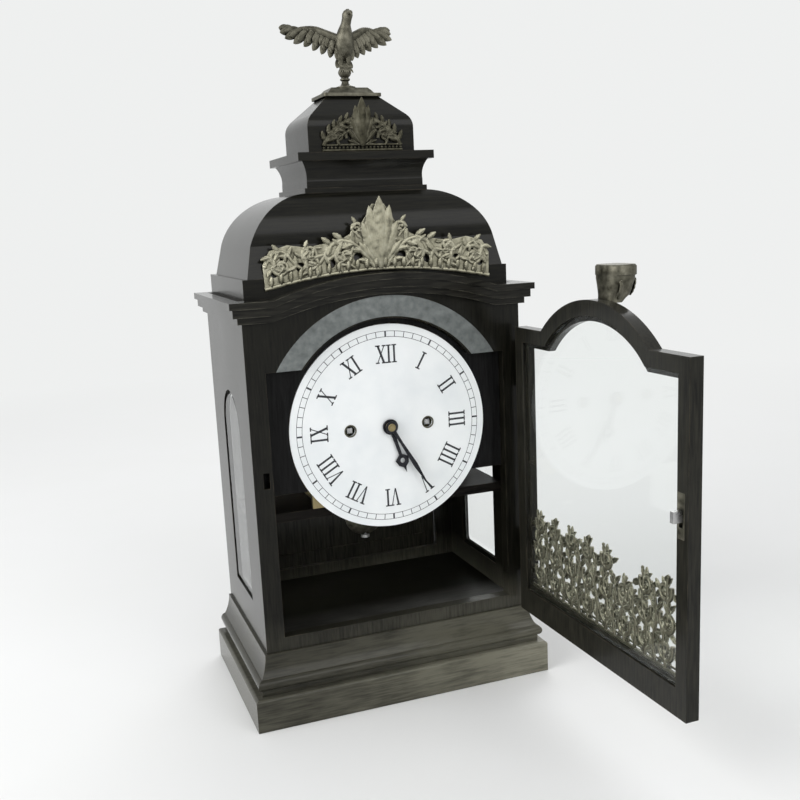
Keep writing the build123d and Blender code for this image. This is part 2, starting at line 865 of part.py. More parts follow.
# Front door: stiles and rails in one arched frame, rebated at the back for the glass
door_half_width = half_width - door_side_margin
door_bottom = body_bottom + door_foot_gap
door_inner_half = door_half_width - door_stile
door_inner_radius = door_arch_radius - door_stile
door_inner_bottom = door_bottom + door_bottom_rail
door_inner_shoulder = door_shoulder - door_stile
lock_slot_height = bolt_height + bolt_travel + 2 * bolt_clearance
with BuildPart() as front_door:
    with BuildSketch(door_plane(door_thickness)):
        arched_outline(door_half_width, door_bottom, door_shoulder, door_arch_radius)
        arched_outline(
            door_inner_half, door_inner_bottom, door_inner_shoulder, door_inner_radius,
            Mode.SUBTRACT,
        )
    extrude(amount=door_thickness)
    with BuildSketch(door_plane(door_thickness)):
        arched_outline(
            door_inner_half + window_rebate,
            door_inner_bottom - window_rebate,
            door_inner_shoulder + window_rebate,
            door_inner_radius + window_rebate,
        )
    extrude(amount=rebate_depth, mode=Mode.SUBTRACT)
    with BuildSketch(door_plane(door_thickness)):
        with Locations((lock_place, lock_level)):
            Rectangle(lock_case_width, lock_case_height)
    extrude(amount=lock_case_depth, mode=Mode.SUBTRACT)
front_door.part.label = "front_door"
export_step(front_door.part, "parts/front_door.step")

# Glass of the front door, against the bottom of its rebate
pane_grow = window_rebate - glass_clearance
pane_back = door_thickness - rebate_depth + glass_thickness
with BuildPart() as front_door_glass:
    with BuildSketch(door_plane(pane_back)):
        arched_outline(
            door_inner_half + pane_grow,
            door_inner_bottom - pane_grow,
            door_inner_shoulder + pane_grow,
            door_inner_radius + pane_grow,
        )
    extrude(amount=glass_thickness)
front_door_glass.part.label = "front_door_glass"
export_step(front_door_glass.part, "parts/front_door_glass.step")

# Front hinges: fixed leaves on the side of the case, with the outer knuckles and the pins
knuckle_length = hinge_length / 3
hinge_heights = (door_bottom + hinge_insets[0], dial_height + door_shoulder - hinge_insets[1])
with BuildPart() as front_hinge_posts:
    for height in hinge_heights:
        foot = height - hinge_length / 2
        with BuildSketch(Plane.XY.offset(foot)):
            leaf_back = inner_front + hinge_reach - frame_thickness
            with Locations((hinge_x + leaf_thickness / 2, (door_front + leaf_back) / 2)):
                Rectangle(leaf_thickness, leaf_back - door_front)
            with Locations((hinge_x, door_front)):
                Circle(knuckle_radius)
        extrude(amount=hinge_length)
        with BuildSketch(Plane.XY.offset(foot + knuckle_length - knuckle_gap)):
            with Locations((hinge_x, door_front)):
                Circle(knuckle_radius + knuckle_gap)
        extrude(amount=knuckle_length + 2 * knuckle_gap, mode=Mode.SUBTRACT)
        with BuildSketch(Plane.XY.offset(foot)):
            with Locations((hinge_x, door_front)):
                Circle(pin_radius)
        extrude(amount=hinge_length)
front_hinge_posts.part.label = "front_hinge_posts"
export_step(front_hinge_posts.part, "parts/front_hinge_posts.step")

# Door leaves of the front hinges, with the middle knuckle bored for the pin
door_leaf_reach = door_thickness - 1.0
with BuildPart() as front_hinge_leaves:
    for height in hinge_heights:
        foot = height - hinge_length / 2
        with BuildSketch(door_level(foot)):
            with Locations((leaf_thickness / 2 - door_side_margin, door_leaf_reach / 2)):
                Rectangle(leaf_thickness, door_leaf_reach)
            Circle(knuckle_radius)
        extrude(amount=hinge_length)
        for end in (foot, foot + 2 * knuckle_length):
            with BuildSketch(door_level(end)):
                Circle(knuckle_radius + knuckle_gap)
            extrude(amount=knuckle_length, mode=Mode.SUBTRACT)
        with BuildSketch(door_level(foot)):
            Circle(pin_radius + running_clearance)
        extrude(amount=hinge_length, mode=Mode.SUBTRACT)
front_hinge_leaves.part.label = "front_hinge_leaves"
export_step(front_hinge_leaves.part, "parts/front_hinge_leaves.step")

# Pierced brass fret behind the lower part of the door's opening, against the glass
fret_rings = 11
fret_ring_radius = 2 * door_inner_half / (2 * fret_rings - 1.4)
fret_pitch = (2 * door_inner_half - 2 * fret_ring_radius) / (fret_rings - 1)
fret_row_rise = fret_ring_radius * 1.75
with BuildPart() as door_fret:
    with BuildSketch(door_plane(door_thickness - rebate_depth)):
        ring_places = []
        for column in range(fret_rings):
            across = -door_inner_half + fret_ring_radius + column * fret_pitch
            lean = min(abs(across + fret_gap_place) / fret_gap_reach, 1)
            height = fret_gap_height + (fret_height - fret_gap_height) * lean
            rows = int((height - 2 * fret_ring_radius) / fret_row_rise) + 1
            for row in range(rows):
                ring_places.append(
                    (across, door_inner_bottom + fret_ring_radius + row * fret_row_rise)
                )
        with Locations(*ring_places):
            Circle(fret_ring_radius)
        with Locations(*ring_places):
            Circle(fret_ring_radius - fret_bar, mode=Mode.SUBTRACT)
        with Locations((0, door_inner_bottom + fret_bar / 2)):
            Rectangle(2 * door_inner_half, fret_bar)
    extrude(amount=fret_thickness)
door_fret.part.label = "door_fret"
export_step(door_fret.part, "parts/door_fret.step")

# Brass cartouche on the crown of the door, whose head leans forward
cresting_foot = dial_height + door_arch_radius - cresting_drop
with BuildPart() as door_cresting:
    cresting_half = cresting_width / 2
    cresting_stem = cresting_height * cresting_stem_share
    with BuildSketch(door_plane(0)):
        stepped_outline(
            [
                (cresting_half * 0.65, cresting_foot),
                (cresting_half * 0.55, cresting_foot + cresting_stem),
                (cresting_half * 0.80, cresting_foot + cresting_height * 0.6),
            ]
        )
    extrude(amount=cresting_stem_depth)
    with BuildSketch(door_plane(-cresting_lean)):
        stepped_outline(
            [
                (cresting_half * 0.60, cresting_foot + cresting_stem),
                (cresting_half, cresting_foot + cresting_height * 0.65),
                (cresting_half * 0.90, cresting_foot + cresting_height),
            ]
        )
    extrude(amount=cresting_depth - cresting_lean)
door_cresting.part.label = "door_cresting"
export_step(door_cresting.part, "parts/door_cresting.step")

# Lock let into the back of the free stile
slot_level = lock_level - bolt_travel / 2
with BuildPart() as door_lock:
    with BuildSketch(door_plane(door_thickness)):
        with Locations((lock_place, lock_level)):
            Rectangle(lock_case_width, lock_case_height)
        with Locations((lock_place, slot_level)):
            Rectangle(bolt_width + 2 * bolt_clearance, lock_slot_height, mode=Mode.SUBTRACT)
    extrude(amount=lock_case_depth)
door_lock.part.label = "door_lock"
export_step(door_lock.part, "parts/door_lock.step")

# Bolt of the lock, whose nose enters the mortise of the front frame and drops
bolt_length = lock_case_depth - bolt_clearance + door_gap + bolt_reach
with BuildPart() as lock_bolt:
    with BuildSketch(door_plane(door_thickness + door_gap + bolt_reach)):
        with Locations((lock_place, lock_level)):
            Rectangle(bolt_width, bolt_height)
    extrude(amount=bolt_length)
lock_bolt.part.label = "lock_bolt"
export_step(lock_bolt.part, "parts/lock_bolt.step")

# Back door, rounded on its hinge edge and rebated for its panel from the inside
back_door_half = back_opening_half_width - back_door_gap
back_door_bottom = back_opening_bottom + back_door_gap
back_door_top = back_opening_top - back_door_gap
back_door_middle = (back_door_bottom + back_door_top) / 2
back_door_height = back_door_top - back_door_bottom
back_door_inner = body_back - back_door_thickness
back_panel_depth = back_door_thickness / 2
latch_x = back_door_stile / 2 - back_door_half
with BuildPart() as back_door:
    with BuildSketch(upright(body_back)):
        with Locations((0, back_door_middle)):
            Rectangle(2 * back_door_half, back_door_height)
    extrude(amount=back_door_thickness)
    hinge_edges = back_door.edges().filter_by(Axis.Z).group_by(Axis.X)[-1]
    fillet(hinge_edges, radius=back_door_thickness / 2 - 0.01)
    with BuildSketch(upright(body_back)):
        with Locations((0, back_door_middle)):
            Rectangle(
                2 * (back_door_half - back_door_stile), back_door_height - 2 * back_door_stile
            )
        with Locations((latch_x, back_door_middle)):
            Circle(knob_shank_radius + running_clearance)
    extrude(amount=back_door_thickness, mode=Mode.SUBTRACT)
    with BuildSketch(upright(back_door_inner + back_panel_depth)):
        with Locations((0, back_door_middle)):
            Rectangle(
                2 * (back_door_half - back_door_stile + window_rebate),
                back_door_height - 2 * back_door_stile + 2 * window_rebate,
            )
    extrude(amount=back_panel_depth, mode=Mode.SUBTRACT)
back_door.part.label = "back_door"
export_step(back_door.part, "parts/back_door.step")

# Thin wooden panel of the back door
with BuildPart() as back_door_panel:
    with BuildSketch(upright(back_door_inner + back_panel_depth)):
        with Locations((0, back_door_middle)):
            Rectangle(
                2 * (back_door_half - back_door_stile + pane_grow),
                back_door_height - 2 * back_door_stile + 2 * pane_grow,
            )
    extrude(amount=back_panel_thickness)
back_door_panel.part.label = "back_door_panel"
export_step(back_door_panel.part, "parts/back_door_panel.step")

# Pivot pins of the back door, one at its head and one at its foot
with BuildPart() as back_door_pins:
    for level, grow in ((back_door_bottom, -1), (back_door_top, 1)):
        with BuildSketch(Plane.XY.offset(level)):
            with Locations((back_hinge_x, back_hinge_y)):
                Circle(pin_radius)
        extrude(amount=grow * (back_pin_length - back_door_gap))
back_door_pins.part.label = "back_door_pins"
export_step(back_door_pins.part, "parts/back_door_pins.step")

# Turn button: knob outside, shank through the stile, latch that turns behind the frame
latch_back = inner_back - bolt_clearance
with BuildPart() as back_turn_button:
    with BuildSketch(upright(body_back + knob_stand)):
        with Locations((latch_x, back_door_middle)):
            Circle(knob_shank_radius)
    extrude(amount=body_back + knob_stand - latch_back)
    with BuildSketch(upright(body_back + knob_stand)):
        with Locations((latch_x, back_door_middle)):
            Circle(knob_radius)
    extrude(amount=knob_stand - bolt_clearance)
    with BuildSketch(upright(latch_back)):
        with Locations((latch_x, back_door_middle + latch_length / 2 - latch_width / 2)):
            RectangleRounded(latch_width, latch_length, latch_width / 2 - 0.1)
    extrude(amount=latch_thickness)
back_turn_button.part.label = "back_turn_button"
export_step(back_turn_button.part, "parts/back_turn_button.step")

# Dial mask: black board that fills the head of the opening, glued to two battens behind
mask_back = inner_front
mask_bottom = dial_height - mask_lower_edge
with BuildPart() as dial_mask:
    with BuildSketch(upright(mask_back)):
        arched_outline(
            opening_half_width - mask_clearance,
            mask_bottom,
            opening_shoulder - mask_clearance,
            opening_arch_radius - mask_clearance,
        )
        with Locations((0, dial_height)):
            Circle(dial_radius + mask_clearance, mode=Mode.SUBTRACT)
    extrude(amount=mask_thickness)
    with BuildSketch(upright(mask_back + batten_thickness)):
        batten_height = mask_lower_edge + opening_shoulder - 2 * mask_clearance
        for side in (-1, 1):
            with Locations((side * opening_half_width, mask_bottom + batten_height / 2)):
                Rectangle(2 * batten_overlap, batten_height)
    extrude(amount=batten_thickness)
dial_mask.part.label = "dial_mask"
export_step(dial_mask.part, "parts/dial_mask.step")

# Places of the movement, from the dial backwards
dial_front = body_front + dial_front_setback
dial_back = dial_front + dial_thickness
plate_front = dial_back + motion_work_depth
train_front = plate_front + plate_thickness
train_back = train_front + plate_spacing
plate_back = train_back + plate_thickness
plate_top = dial_height + movement_rise
plate_bottom = plate_top - plate_height

# Enamelled dial with its winding holes, on three feet that reach the front plate
foot_ring = dial_radius * 0.70
with BuildPart() as dial:
    with BuildSketch(upright(dial_back)):
        with Locations((0, dial_height)):
            Circle(dial_radius)
            Circle(dial_centre_hole_radius, mode=Mode.SUBTRACT)
            with Locations((-winding_spacing, 0), (winding_spacing, 0)):
                Circle(winding_hole_radius, mode=Mode.SUBTRACT)
    extrude(amount=dial_thickness)
    with BuildSketch(upright(plate_front)):
        with Locations((0, dial_height)):
            with PolarLocations(foot_ring, 3, start_angle=30):
                Circle(dial_foot_radius)
    extrude(amount=motion_work_depth)
dial.part.label = "dial"
export_step(dial.part, "parts/dial.step")


def toothed_outline(teeth, pitch_radius, phase, add_share=addendum_share, tip=tip_share):
    """Toothed outline about the local origin; the first tooth stands at `phase` degrees."""
    module = 2 * pitch_radius / teeth
    root = pitch_radius - dedendum_share * module
    crown = pitch_radius + add_share * module
    corners = ((-tooth_share, root), (-tip, crown), (tip, crown), (tooth_share, root))
    points = []
    for tooth in range(teeth):
        for share, radius in corners:
            angle = radians(phase) + 2 * pi * (tooth + share) / teeth
            points.append((radius * cos(angle), radius * sin(angle)))
    with BuildLine() as outline:
        Polyline(*points, close=True)
    make_face(outline.line.edges())


def mesh_phase(driver_teeth, driver_phase, teeth, direction):
    """Phase in degrees that sets a gear in mesh; `direction` points from driver to gear."""
    driver_share = (direction - driver_phase) / (360 / driver_teeth)
    gear_share = 0.5 - driver_share
    return direction + 180 - gear_share * 360 / teeth


def gear(place, back, thickness, teeth, pitch_radius, phase, bore=0.0):
    """Plain toothed pinion or wheel from depth `back` forward."""
    with BuildSketch(upright(back, *place)) as face:
        toothed_outline(teeth, pitch_radius, phase)
        if bore:
            Circle(bore, mode=Mode.SUBTRACT)
    extrude(face.sketch, amount=thickness)


def crossed_wheel(place, back, teeth, pitch_radius, phase, hub=hub_radius, bore=0.0):
    """Thin toothed wheel with a rim, four crossings and a hub."""
    rim = pitch_radius * (1 - 2 * dedendum_share / teeth) - rim_width
    with BuildSketch(upright(back, *place)) as face:
        toothed_outline(teeth, pitch_radius, phase)
        Circle(rim, mode=Mode.SUBTRACT)
        Circle(hub)
        for turn in (45, 135):
            Rectangle(2 * rim + 1, spoke_width, rotation=turn)
        if bore:
            Circle(bore, mode=Mode.SUBTRACT)
    extrude(face.sketch, amount=wheel_thickness)


def rod_along(place, front, back, radius):
    """Round rod along the depth of the movement at (across, level)."""
    with BuildSketch(upright(back, *place)) as face:
        Circle(radius)
    extrude(face.sketch, amount=back - front)


def arbor(place, front=None, back=None):
    """Arbor between the plates, with a thin pivot at each end that is not given a depth."""
    body_start = train_front + end_shake if front is None else front
    body_end = train_back - end_shake if back is None else back
    rod_along(place, body_start, body_end, arbor_radius)
    if front is None:
        rod_along(place, plate_front, body_start, pivot_radius)
    if back is None:
        rod_along(place, body_end, plate_back, pivot_radius)


# Places of the arbors, as (across, level)
centre_place = (0.0, dial_height)
going_place = (winding_spacing, dial_height)
strike_place = (-winding_spacing, dial_height)
third_place = (third_offset, dial_height + sqrt(centre_to_third**2 - third_offset**2))
escape_place = (0.0, third_place[1] + sqrt(third_to_escape**2 - third_offset**2))
pallet_place = (0.0, escape_place[1] + pallet_distance)
pin_place = (
    strike_place[0] + winding_spacing * cos(radians(pin_wheel_angle)),
    strike_place[1] + winding_spacing * sin(radians(pin_wheel_angle)),
)
fly_place = (
    pin_place[0] + pin_to_fly * cos(radians(fly_angle)),
    pin_place[1] + pin_to_fly * sin(radians(fly_angle)),
)
hammer_place = (-hammer_offset, plate_top - hammer_drop)
minute_wheel_place = (0.0, dial_height - motion_distance)
thin_pivots = (third_place, escape_place, pin_place, fly_place, hammer_place)
winding_places = (going_place, strike_place)


def plate_outline():
    """Rectangular outline of a movement plate."""
    with Locations((0, (plate_bottom + plate_top) / 2)):
        Rectangle(2 * plate_half_width, plate_height)


def plate_holes(places, radius):
    """Round holes through a movement plate."""
    with Locations(*places):
        Circle(radius + running_clearance, mode=Mode.SUBTRACT)


# Front plate with the stud of the minute wheel
with BuildPart() as front_plate:
    with BuildSketch(upright(train_front)):
        plate_outline()
        plate_holes(thin_pivots + (pallet_place,), pivot_radius)
        plate_holes((centre_place,), arbor_radius)
        plate_holes(winding_places, winding_arbor_radius)
    extrude(amount=plate_thickness)
    with BuildSketch(upright(plate_front)):
        with Locations(minute_wheel_place):
            Circle(stud_radius)
    extrude(amount=motion_work_depth * 0.65)
front_plate.part.label = "front_plate"
export_step(front_plate.part, "parts/front_plate.step")

# Back plate
with BuildPart() as back_plate:
    with BuildSketch(upright(plate_back)):
        plate_outline()
        plate_holes(thin_pivots + (centre_place,), pivot_radius)
        plate_holes(winding_places + (pallet_place,), arbor_radius)
    extrude(amount=plate_thickness)
back_plate.part.label = "back_plate"
export_step(back_plate.part, "parts/back_plate.step")

# Four pillars between the plates
with BuildPart() as pillars:
    with BuildSketch(upright(train_back)):
        with Locations((0, (plate_bottom + plate_top) / 2)):
            with GridLocations(
                2 * (plate_half_width - pillar_inset), plate_height - 2 * pillar_inset, 2, 2
            ):
                Circle(pillar_radius)
    extrude(amount=plate_spacing)
pillars.part.label = "pillars"
export_step(pillars.part, "parts/pillars.step")

# Seat board that carries the movement between the side panels
seat_back = plate_back + seat_rear_overhang
with BuildPart() as seat_board:
    with BuildSketch(Plane.XY.offset(plate_bottom - seat_thickness)):
        with Locations((0, (plate_front + seat_back) / 2)):
            Rectangle(2 * inner_half_width, seat_back - plate_front)
    extrude(amount=seat_thickness)
seat_board.part.label = "seat_board"
export_step(seat_board.part, "parts/seat_board.step")

# Spring barrels with their great wheels, bored for the winding arbors
great_radius = winding_spacing * great_wheel_teeth / (great_wheel_teeth + centre_pinion_leaves)
barrel_front = train_front + barrel_setback
barrel_back = barrel_front + great_wheel_thickness + drum_length
barrel_bore = winding_arbor_radius + running_clearance


def barrel(place, wheel_back, drum_front):
    """Drum and great wheel of one train, made in the active part."""
    gear(place, wheel_back, great_wheel_thickness, great_wheel_teeth, great_radius, 0, barrel_bore)
    with BuildSketch(upright(drum_front + drum_length, *place)) as drum:
        Circle(drum_radius)
        Circle(barrel_bore, mode=Mode.SUBTRACT)
    extrude(drum.sketch, amount=drum_length)


with BuildPart() as going_barrel:
    barrel(going_place, barrel_front + great_wheel_thickness, barrel_front + great_wheel_thickness)
going_barrel.part.label = "going_barrel"
export_step(going_barrel.part, "parts/going_barrel.step")

with BuildPart() as strike_barrel:
    barrel(strike_place, barrel_back, barrel_front)
strike_barrel.part.label = "strike_barrel"
export_step(strike_barrel.part, "parts/strike_barrel.step")


def winding_arbor(place):
    """Stout arbor through a barrel, with a square for the key behind the dial."""
    rod_along(place, plate_front, train_back - end_shake, winding_arbor_radius)
    rod_along(place, train_back - end_shake, plate_back, arbor_radius)
    with BuildSketch(upright(plate_front, *place)) as square:
        Rectangle(winding_square, winding_square)
    extrude(square.sketch, amount=motion_work_depth)


with BuildPart() as going_arbor:
    winding_arbor(going_place)
going_arbor.part.label = "going_arbor"
export_step(going_arbor.part, "parts/going_arbor.step")

with BuildPart() as strike_arbor:
    winding_arbor(strike_place)
strike_arbor.part.label = "strike_arbor"
export_step(strike_arbor.part, "parts/strike_arbor.step")

# Centre wheel: its pinion meets the going great wheel, its arbor carries the minute hand
centre_pinion_radius = winding_spacing - great_radius
centre_wheel_radius = (
    centre_to_third * centre_wheel_teeth / (centre_wheel_teeth + third_pinion_leaves)
)
centre_wheel_back = train_front + centre_wheel_setback + wheel_thickness
pinion_overlap = (pinion_length - great_wheel_thickness) / 2
great_wheel_middle_back = barrel_front + great_wheel_thickness + pinion_overlap
hour_hand_back = dial_front - hand_gap
hour_hand_front = hour_hand_back - hand_thickness
minute_hand_back = hour_hand_front - hand_gap
minute_hand_front = minute_hand_back - hand_thickness
with BuildPart() as centre_wheel:
    arbor(centre_place, front=minute_hand_front - hand_gap / 2)
    centre_phase = mesh_phase(great_wheel_teeth, 0, centre_pinion_leaves, 180)
    gear(
        centre_place, great_wheel_middle_back, pinion_length,
        centre_pinion_leaves, centre_pinion_radius, centre_phase,
    )
    crossed_wheel(centre_place, centre_wheel_back, centre_wheel_teeth, centre_wheel_radius, 0)
centre_wheel.part.label = "centre_wheel"
export_step(centre_wheel.part, "parts/centre_wheel.step")

# Third wheel
third_pinion_radius = centre_to_third - centre_wheel_radius
third_wheel_radius = (
    third_to_escape * third_wheel_teeth / (third_wheel_teeth + escape_pinion_leaves)
)
third_pinion_back = centre_wheel_back + (pinion_length - wheel_thickness) / 2
third_wheel_back = third_pinion_back + wheel_spacing + wheel_thickness
to_third = degrees(
    atan2(third_place[1] - centre_place[1], third_place[0] - centre_place[0])
)
with BuildPart() as third_wheel:
    arbor(third_place)
    third_phase = mesh_phase(centre_wheel_teeth, 0, third_pinion_leaves, to_third)
    gear(
        third_place, third_pinion_back, pinion_length,
        third_pinion_leaves, third_pinion_radius, third_phase,
    )
    crossed_wheel(third_place, third_wheel_back, third_wheel_teeth, third_wheel_radius, 0)
third_wheel.part.label = "third_wheel"
export_step(third_wheel.part, "parts/third_wheel.step")

# Escape wheel with pointed teeth
escape_pinion_radius = third_to_escape - third_wheel_radius
escape_pinion_back = third_wheel_back + (pinion_length - wheel_thickness) / 2
escape_back = train_back - escape_setback
to_escape = degrees(
    atan2(escape_place[1] - third_place[1], escape_place[0] - third_place[0])
)
with BuildPart() as escape_wheel:
    arbor(escape_place)
    escape_phase = mesh_phase(third_wheel_teeth, 0, escape_pinion_leaves, to_escape)
    gear(
        escape_place, escape_pinion_back, pinion_length,
        escape_pinion_leaves, escape_pinion_radius, escape_phase,
    )
    with BuildSketch(upright(escape_back, *escape_place)):
        escape_module = 2 * escape_wheel_radius / escape_teeth
        toothed_outline(
            escape_teeth, escape_wheel_radius - escape_module, 0, add_share=1.0, tip=0.04
        )
    extrude(amount=wheel_thickness)
escape_wheel.part.label = "escape_wheel"
export_step(escape_wheel.part, "parts/escape_wheel.step")

# Pin wheel of the striking train, driven by the strike great wheel
pin_wheel_radius = pin_to_fly * pin_wheel_teeth / (pin_wheel_teeth + fly_pinion_leaves)
pin_wheel_back = third_wheel_back
with BuildPart() as pin_wheel:
    arbor(pin_place)
    pin_phase = mesh_phase(great_wheel_teeth, 0, centre_pinion_leaves, pin_wheel_angle)
    gear(
        pin_place, barrel_back + pinion_overlap, pinion_length,
        centre_pinion_leaves, centre_pinion_radius, pin_phase,
    )
    crossed_wheel(pin_place, pin_wheel_back, pin_wheel_teeth, pin_wheel_radius, 0)
    with BuildSketch(upright(pin_wheel_back + lifting_pin_length, *pin_place)):
        with PolarLocations(pin_wheel_radius - rim_width * 0.75, 8):
            Circle(pivot_radius)
    extrude(amount=lifting_pin_length)
pin_wheel.part.label = "pin_wheel"
export_step(pin_wheel.part, "parts/pin_wheel.step")

# Fly: two vanes on the fastest arbor of the striking train
fly_pinion_radius = pin_to_fly - pin_wheel_radius
with BuildPart() as fly:
    arbor(fly_place)
    fly_phase = mesh_phase(pin_wheel_teeth, 0, fly_pinion_leaves, fly_angle)
    gear(
        fly_place, pin_wheel_back + (pinion_length - wheel_thickness) / 2, pinion_length,
        fly_pinion_leaves, fly_pinion_radius, fly_phase,
    )
    with BuildSketch(upright(train_back - pinion_length, *fly_place)):
        Rectangle(2 * fly_half_width, pivot_radius)
    extrude(amount=fly_length)
fly.part.label = "fly"
export_step(fly.part, "parts/fly.step")

# Pallets on their arbor, with the crutch behind the back plate
crutch_front = plate_back + crutch_setback
crutch_back = crutch_front + wheel_thickness
pendulum_depth = crutch_back + crutch_reach
nib_radius = escape_wheel_radius + pallet_clearance
nib_drop = pallet_distance - nib_radius * cos(radians(45))
nib_across = nib_radius * sin(radians(45))
fork_gap = rod_radius + crutch_clearance
with BuildPart() as pallets:
    arbor(pallet_place, back=crutch_back)
    with BuildSketch(upright(escape_back + wheel_thickness / 4, *pallet_place)):
        Circle(hub_radius)
        for side in (-1, 1):
            with BuildLine():
                Polyline(
                    (0, hub_radius * 0.6),
                    (side * nib_across * 1.35, -nib_drop * 0.45),
                    (side * nib_across * 1.35, -nib_drop - 0.4),
                    (side * nib_across * 1.05, -nib_drop + 0.2),
                    (side * nib_across * 1.05, -nib_drop * 0.55),
                    (0, -hub_radius * 0.6),
                    close=True,
                )
            make_face()
    extrude(amount=wheel_thickness)
    with BuildSketch(upright(crutch_back)):
        with Locations((pallet_place[0], pallet_place[1] - crutch_length / 2)):
            Rectangle(spoke_width, crutch_length)
        with Locations(pallet_place):
            Circle(hub_radius)
        with Locations((pallet_place[0], pallet_place[1] - crutch_length)):
            Rectangle(2 * fork_gap + 2 * spoke_width, spoke_width)
    extrude(amount=wheel_thickness)
    with BuildSketch(upright(pendulum_depth + fork_gap)):
        for side in (-1, 1):
            with Locations(
                (side * (fork_gap + spoke_width / 2), pallet_place[1] - crutch_length)
            ):
                Rectangle(spoke_width, spoke_width)
    extrude(amount=pendulum_depth + fork_gap - crutch_back)
pallets.part.label = "pallets"
export_step(pallets.part, "parts/pallets.step")

# Suspension cock on the back plate, with the stud that the pendulum hangs from
cock_front = pendulum_depth + rod_radius + cock_clearance
with BuildPart() as suspension_cock:
    with BuildSketch(upright(cock_front + cock_thickness)):
        with Locations(pallet_place):
            Rectangle(2 * cock_half_width, cock_height)
    extrude(amount=cock_thickness)
    with BuildSketch(upright(cock_front)):
        for side in (-1, 1):
            with Locations(
                (pallet_place[0] + side * (cock_half_width - cock_thickness), pallet_place[1])
            ):
                Rectangle(2 * cock_thickness, cock_height)
    extrude(amount=cock_front - plate_back)
    rod_along(pallet_place, pendulum_depth - rod_radius, cock_front, stud_radius)
suspension_cock.part.label = "suspension_cock"
export_step(suspension_cock.part, "parts/suspension_cock.step")

# Pendulum rod with its eye and rating nut
bob_level = pallet_place[1] - pendulum_length
rod_foot = bob_level - bob_radius
eye_half_width = rod_radius + 0.3
eye_radius = stud_radius + running_clearance + 1.5 * pipe_wall
with BuildPart() as pendulum_rod:
    with BuildSketch(upright(pendulum_depth + eye_half_width)):
        with Locations(pallet_place):
            Circle(eye_radius)
    extrude(amount=2 * eye_half_width)
    with BuildSketch(Plane.XY.offset(rod_foot - rating_nut_height)):
        with Locations((0, pendulum_depth)):
            Circle(rod_radius)
    extrude(amount=pallet_place[1] - stud_radius - rod_foot + rating_nut_height)
    with BuildSketch(Plane.XY.offset(rod_foot - rating_nut_height)):
        with Locations((0, pendulum_depth)):
            Circle(rating_nut_radius)
    extrude(amount=rating_nut_height)
    with BuildSketch(upright(pendulum_depth + eye_half_width)):
        with Locations(pallet_place):
            Circle(stud_radius + running_clearance)
    extrude(amount=2 * eye_half_width, mode=Mode.SUBTRACT)
pendulum_rod.part.label = "pendulum_rod"
export_step(pendulum_rod.part, "parts/pendulum_rod.step")

# Lens-shaped bob, bored for the rod
with BuildPart() as pendulum_bob:
    with BuildSketch(
        Plane(origin=(0, pendulum_depth, bob_level), x_dir=(1, 0, 0), z_dir=(0, 0, 1))
    ):
        with BuildLine():
            Line((0, -bob_thickness / 2), (0, bob_thickness / 2))
            ThreePointArc(
                (0, bob_thickness / 2), (bob_radius * 0.62, bob_thickness * 0.36), (bob_radius, 0.4)
            )
            Line((bob_radius, 0.4), (bob_radius, -0.4))
            ThreePointArc(
                (bob_radius, -0.4), (bob_radius * 0.62, -bob_thickness * 0.36),
                (0, -bob_thickness / 2),
            )
        make_face()
    revolve(axis=Axis((0, pendulum_depth, bob_level), (0, 1, 0)))
    with BuildSketch(Plane.XY.offset(bob_level - bob_radius)):
        with Locations((0, pendulum_depth)):
            Circle(rod_radius + running_clearance)
    extrude(amount=2 * bob_radius, mode=Mode.SUBTRACT)
pendulum_bob.part.label = "pendulum_bob"
export_step(pendulum_bob.part, "parts/pendulum_bob.step")

# Bell stand: bar across the plates, post and nut
train_middle = (train_front + train_back) / 2
bell_foot = plate_top + bell_bar_thickness + bell_drop
bell_top = bell_foot + bell_height
with BuildPart() as bell_stand:
    with BuildSketch(Plane.XY.offset(plate_top)):
        with Locations((0, train_middle)):
            Rectangle(2 * bell_bar_half_width, plate_back - plate_front)
    extrude(amount=bell_bar_thickness)
    with BuildSketch(Plane.XY.offset(plate_top)):
        with Locations((0, train_middle)):
            Circle(bell_post_radius)
    extrude(amount=bell_top - plate_top)
    with BuildSketch(Plane.XY.offset(bell_top)):
        with Locations((0, train_middle)):
            Circle(bell_nut_radius)
    extrude(amount=bell_nut_height)
bell_stand.part.label = "bell_stand"
export_step(bell_stand.part, "parts/bell_stand.step")

# Bell: shallow bowl, mouth down, bored for its post
bell_hole = bell_post_radius + running_clearance


def bowl_arc(radius, height):
    """Rim, middle and hole edge of a bowl section that is an arc centred on the bell's axis."""
    sphere = (radius**2 + height**2) / (2 * height)
    points = []
    for across in (radius, radius * 0.7, bell_hole):
        points.append((across, height - sphere + sqrt(sphere**2 - across**2)))
    return points


with BuildPart() as bell:
    with BuildSketch(upright(train_middle, 0, bell_foot)):
        with BuildLine():
            outer_arc = bowl_arc(bell_radius, bell_height)
            inner_arc = bowl_arc(bell_radius - bell_wall, bell_height - bell_wall)
            ThreePointArc(*outer_arc)
            Line(outer_arc[-1], inner_arc[-1])
            ThreePointArc(*inner_arc)
            Line(inner_arc[0], outer_arc[0])
        make_face()
    revolve(axis=Axis((0, train_middle, 0), (0, 0, 1)))
bell.part.label = "bell"
export_step(bell.part, "parts/bell.step")

# Hammer: arbor, bent-up arm and head beside the rim of the bell
head_centre = Vector(-bell_radius - hammer_gap - hammer_head_radius, train_middle, bell_foot + 2.0)
arm_root = Vector(hammer_place[0], train_middle, hammer_place[1])
arm_way = head_centre - arm_root
with BuildPart() as hammer:
    arbor(hammer_place)
    with BuildSketch(Plane(origin=arm_root, x_dir=(0, 1, 0), z_dir=arm_way)):
        Circle(hammer_arm_radius)
    extrude(amount=arm_way.length)
    with Locations(head_centre):
        Sphere(hammer_head_radius)
hammer.part.label = "hammer"
export_step(hammer.part, "parts/hammer.step")

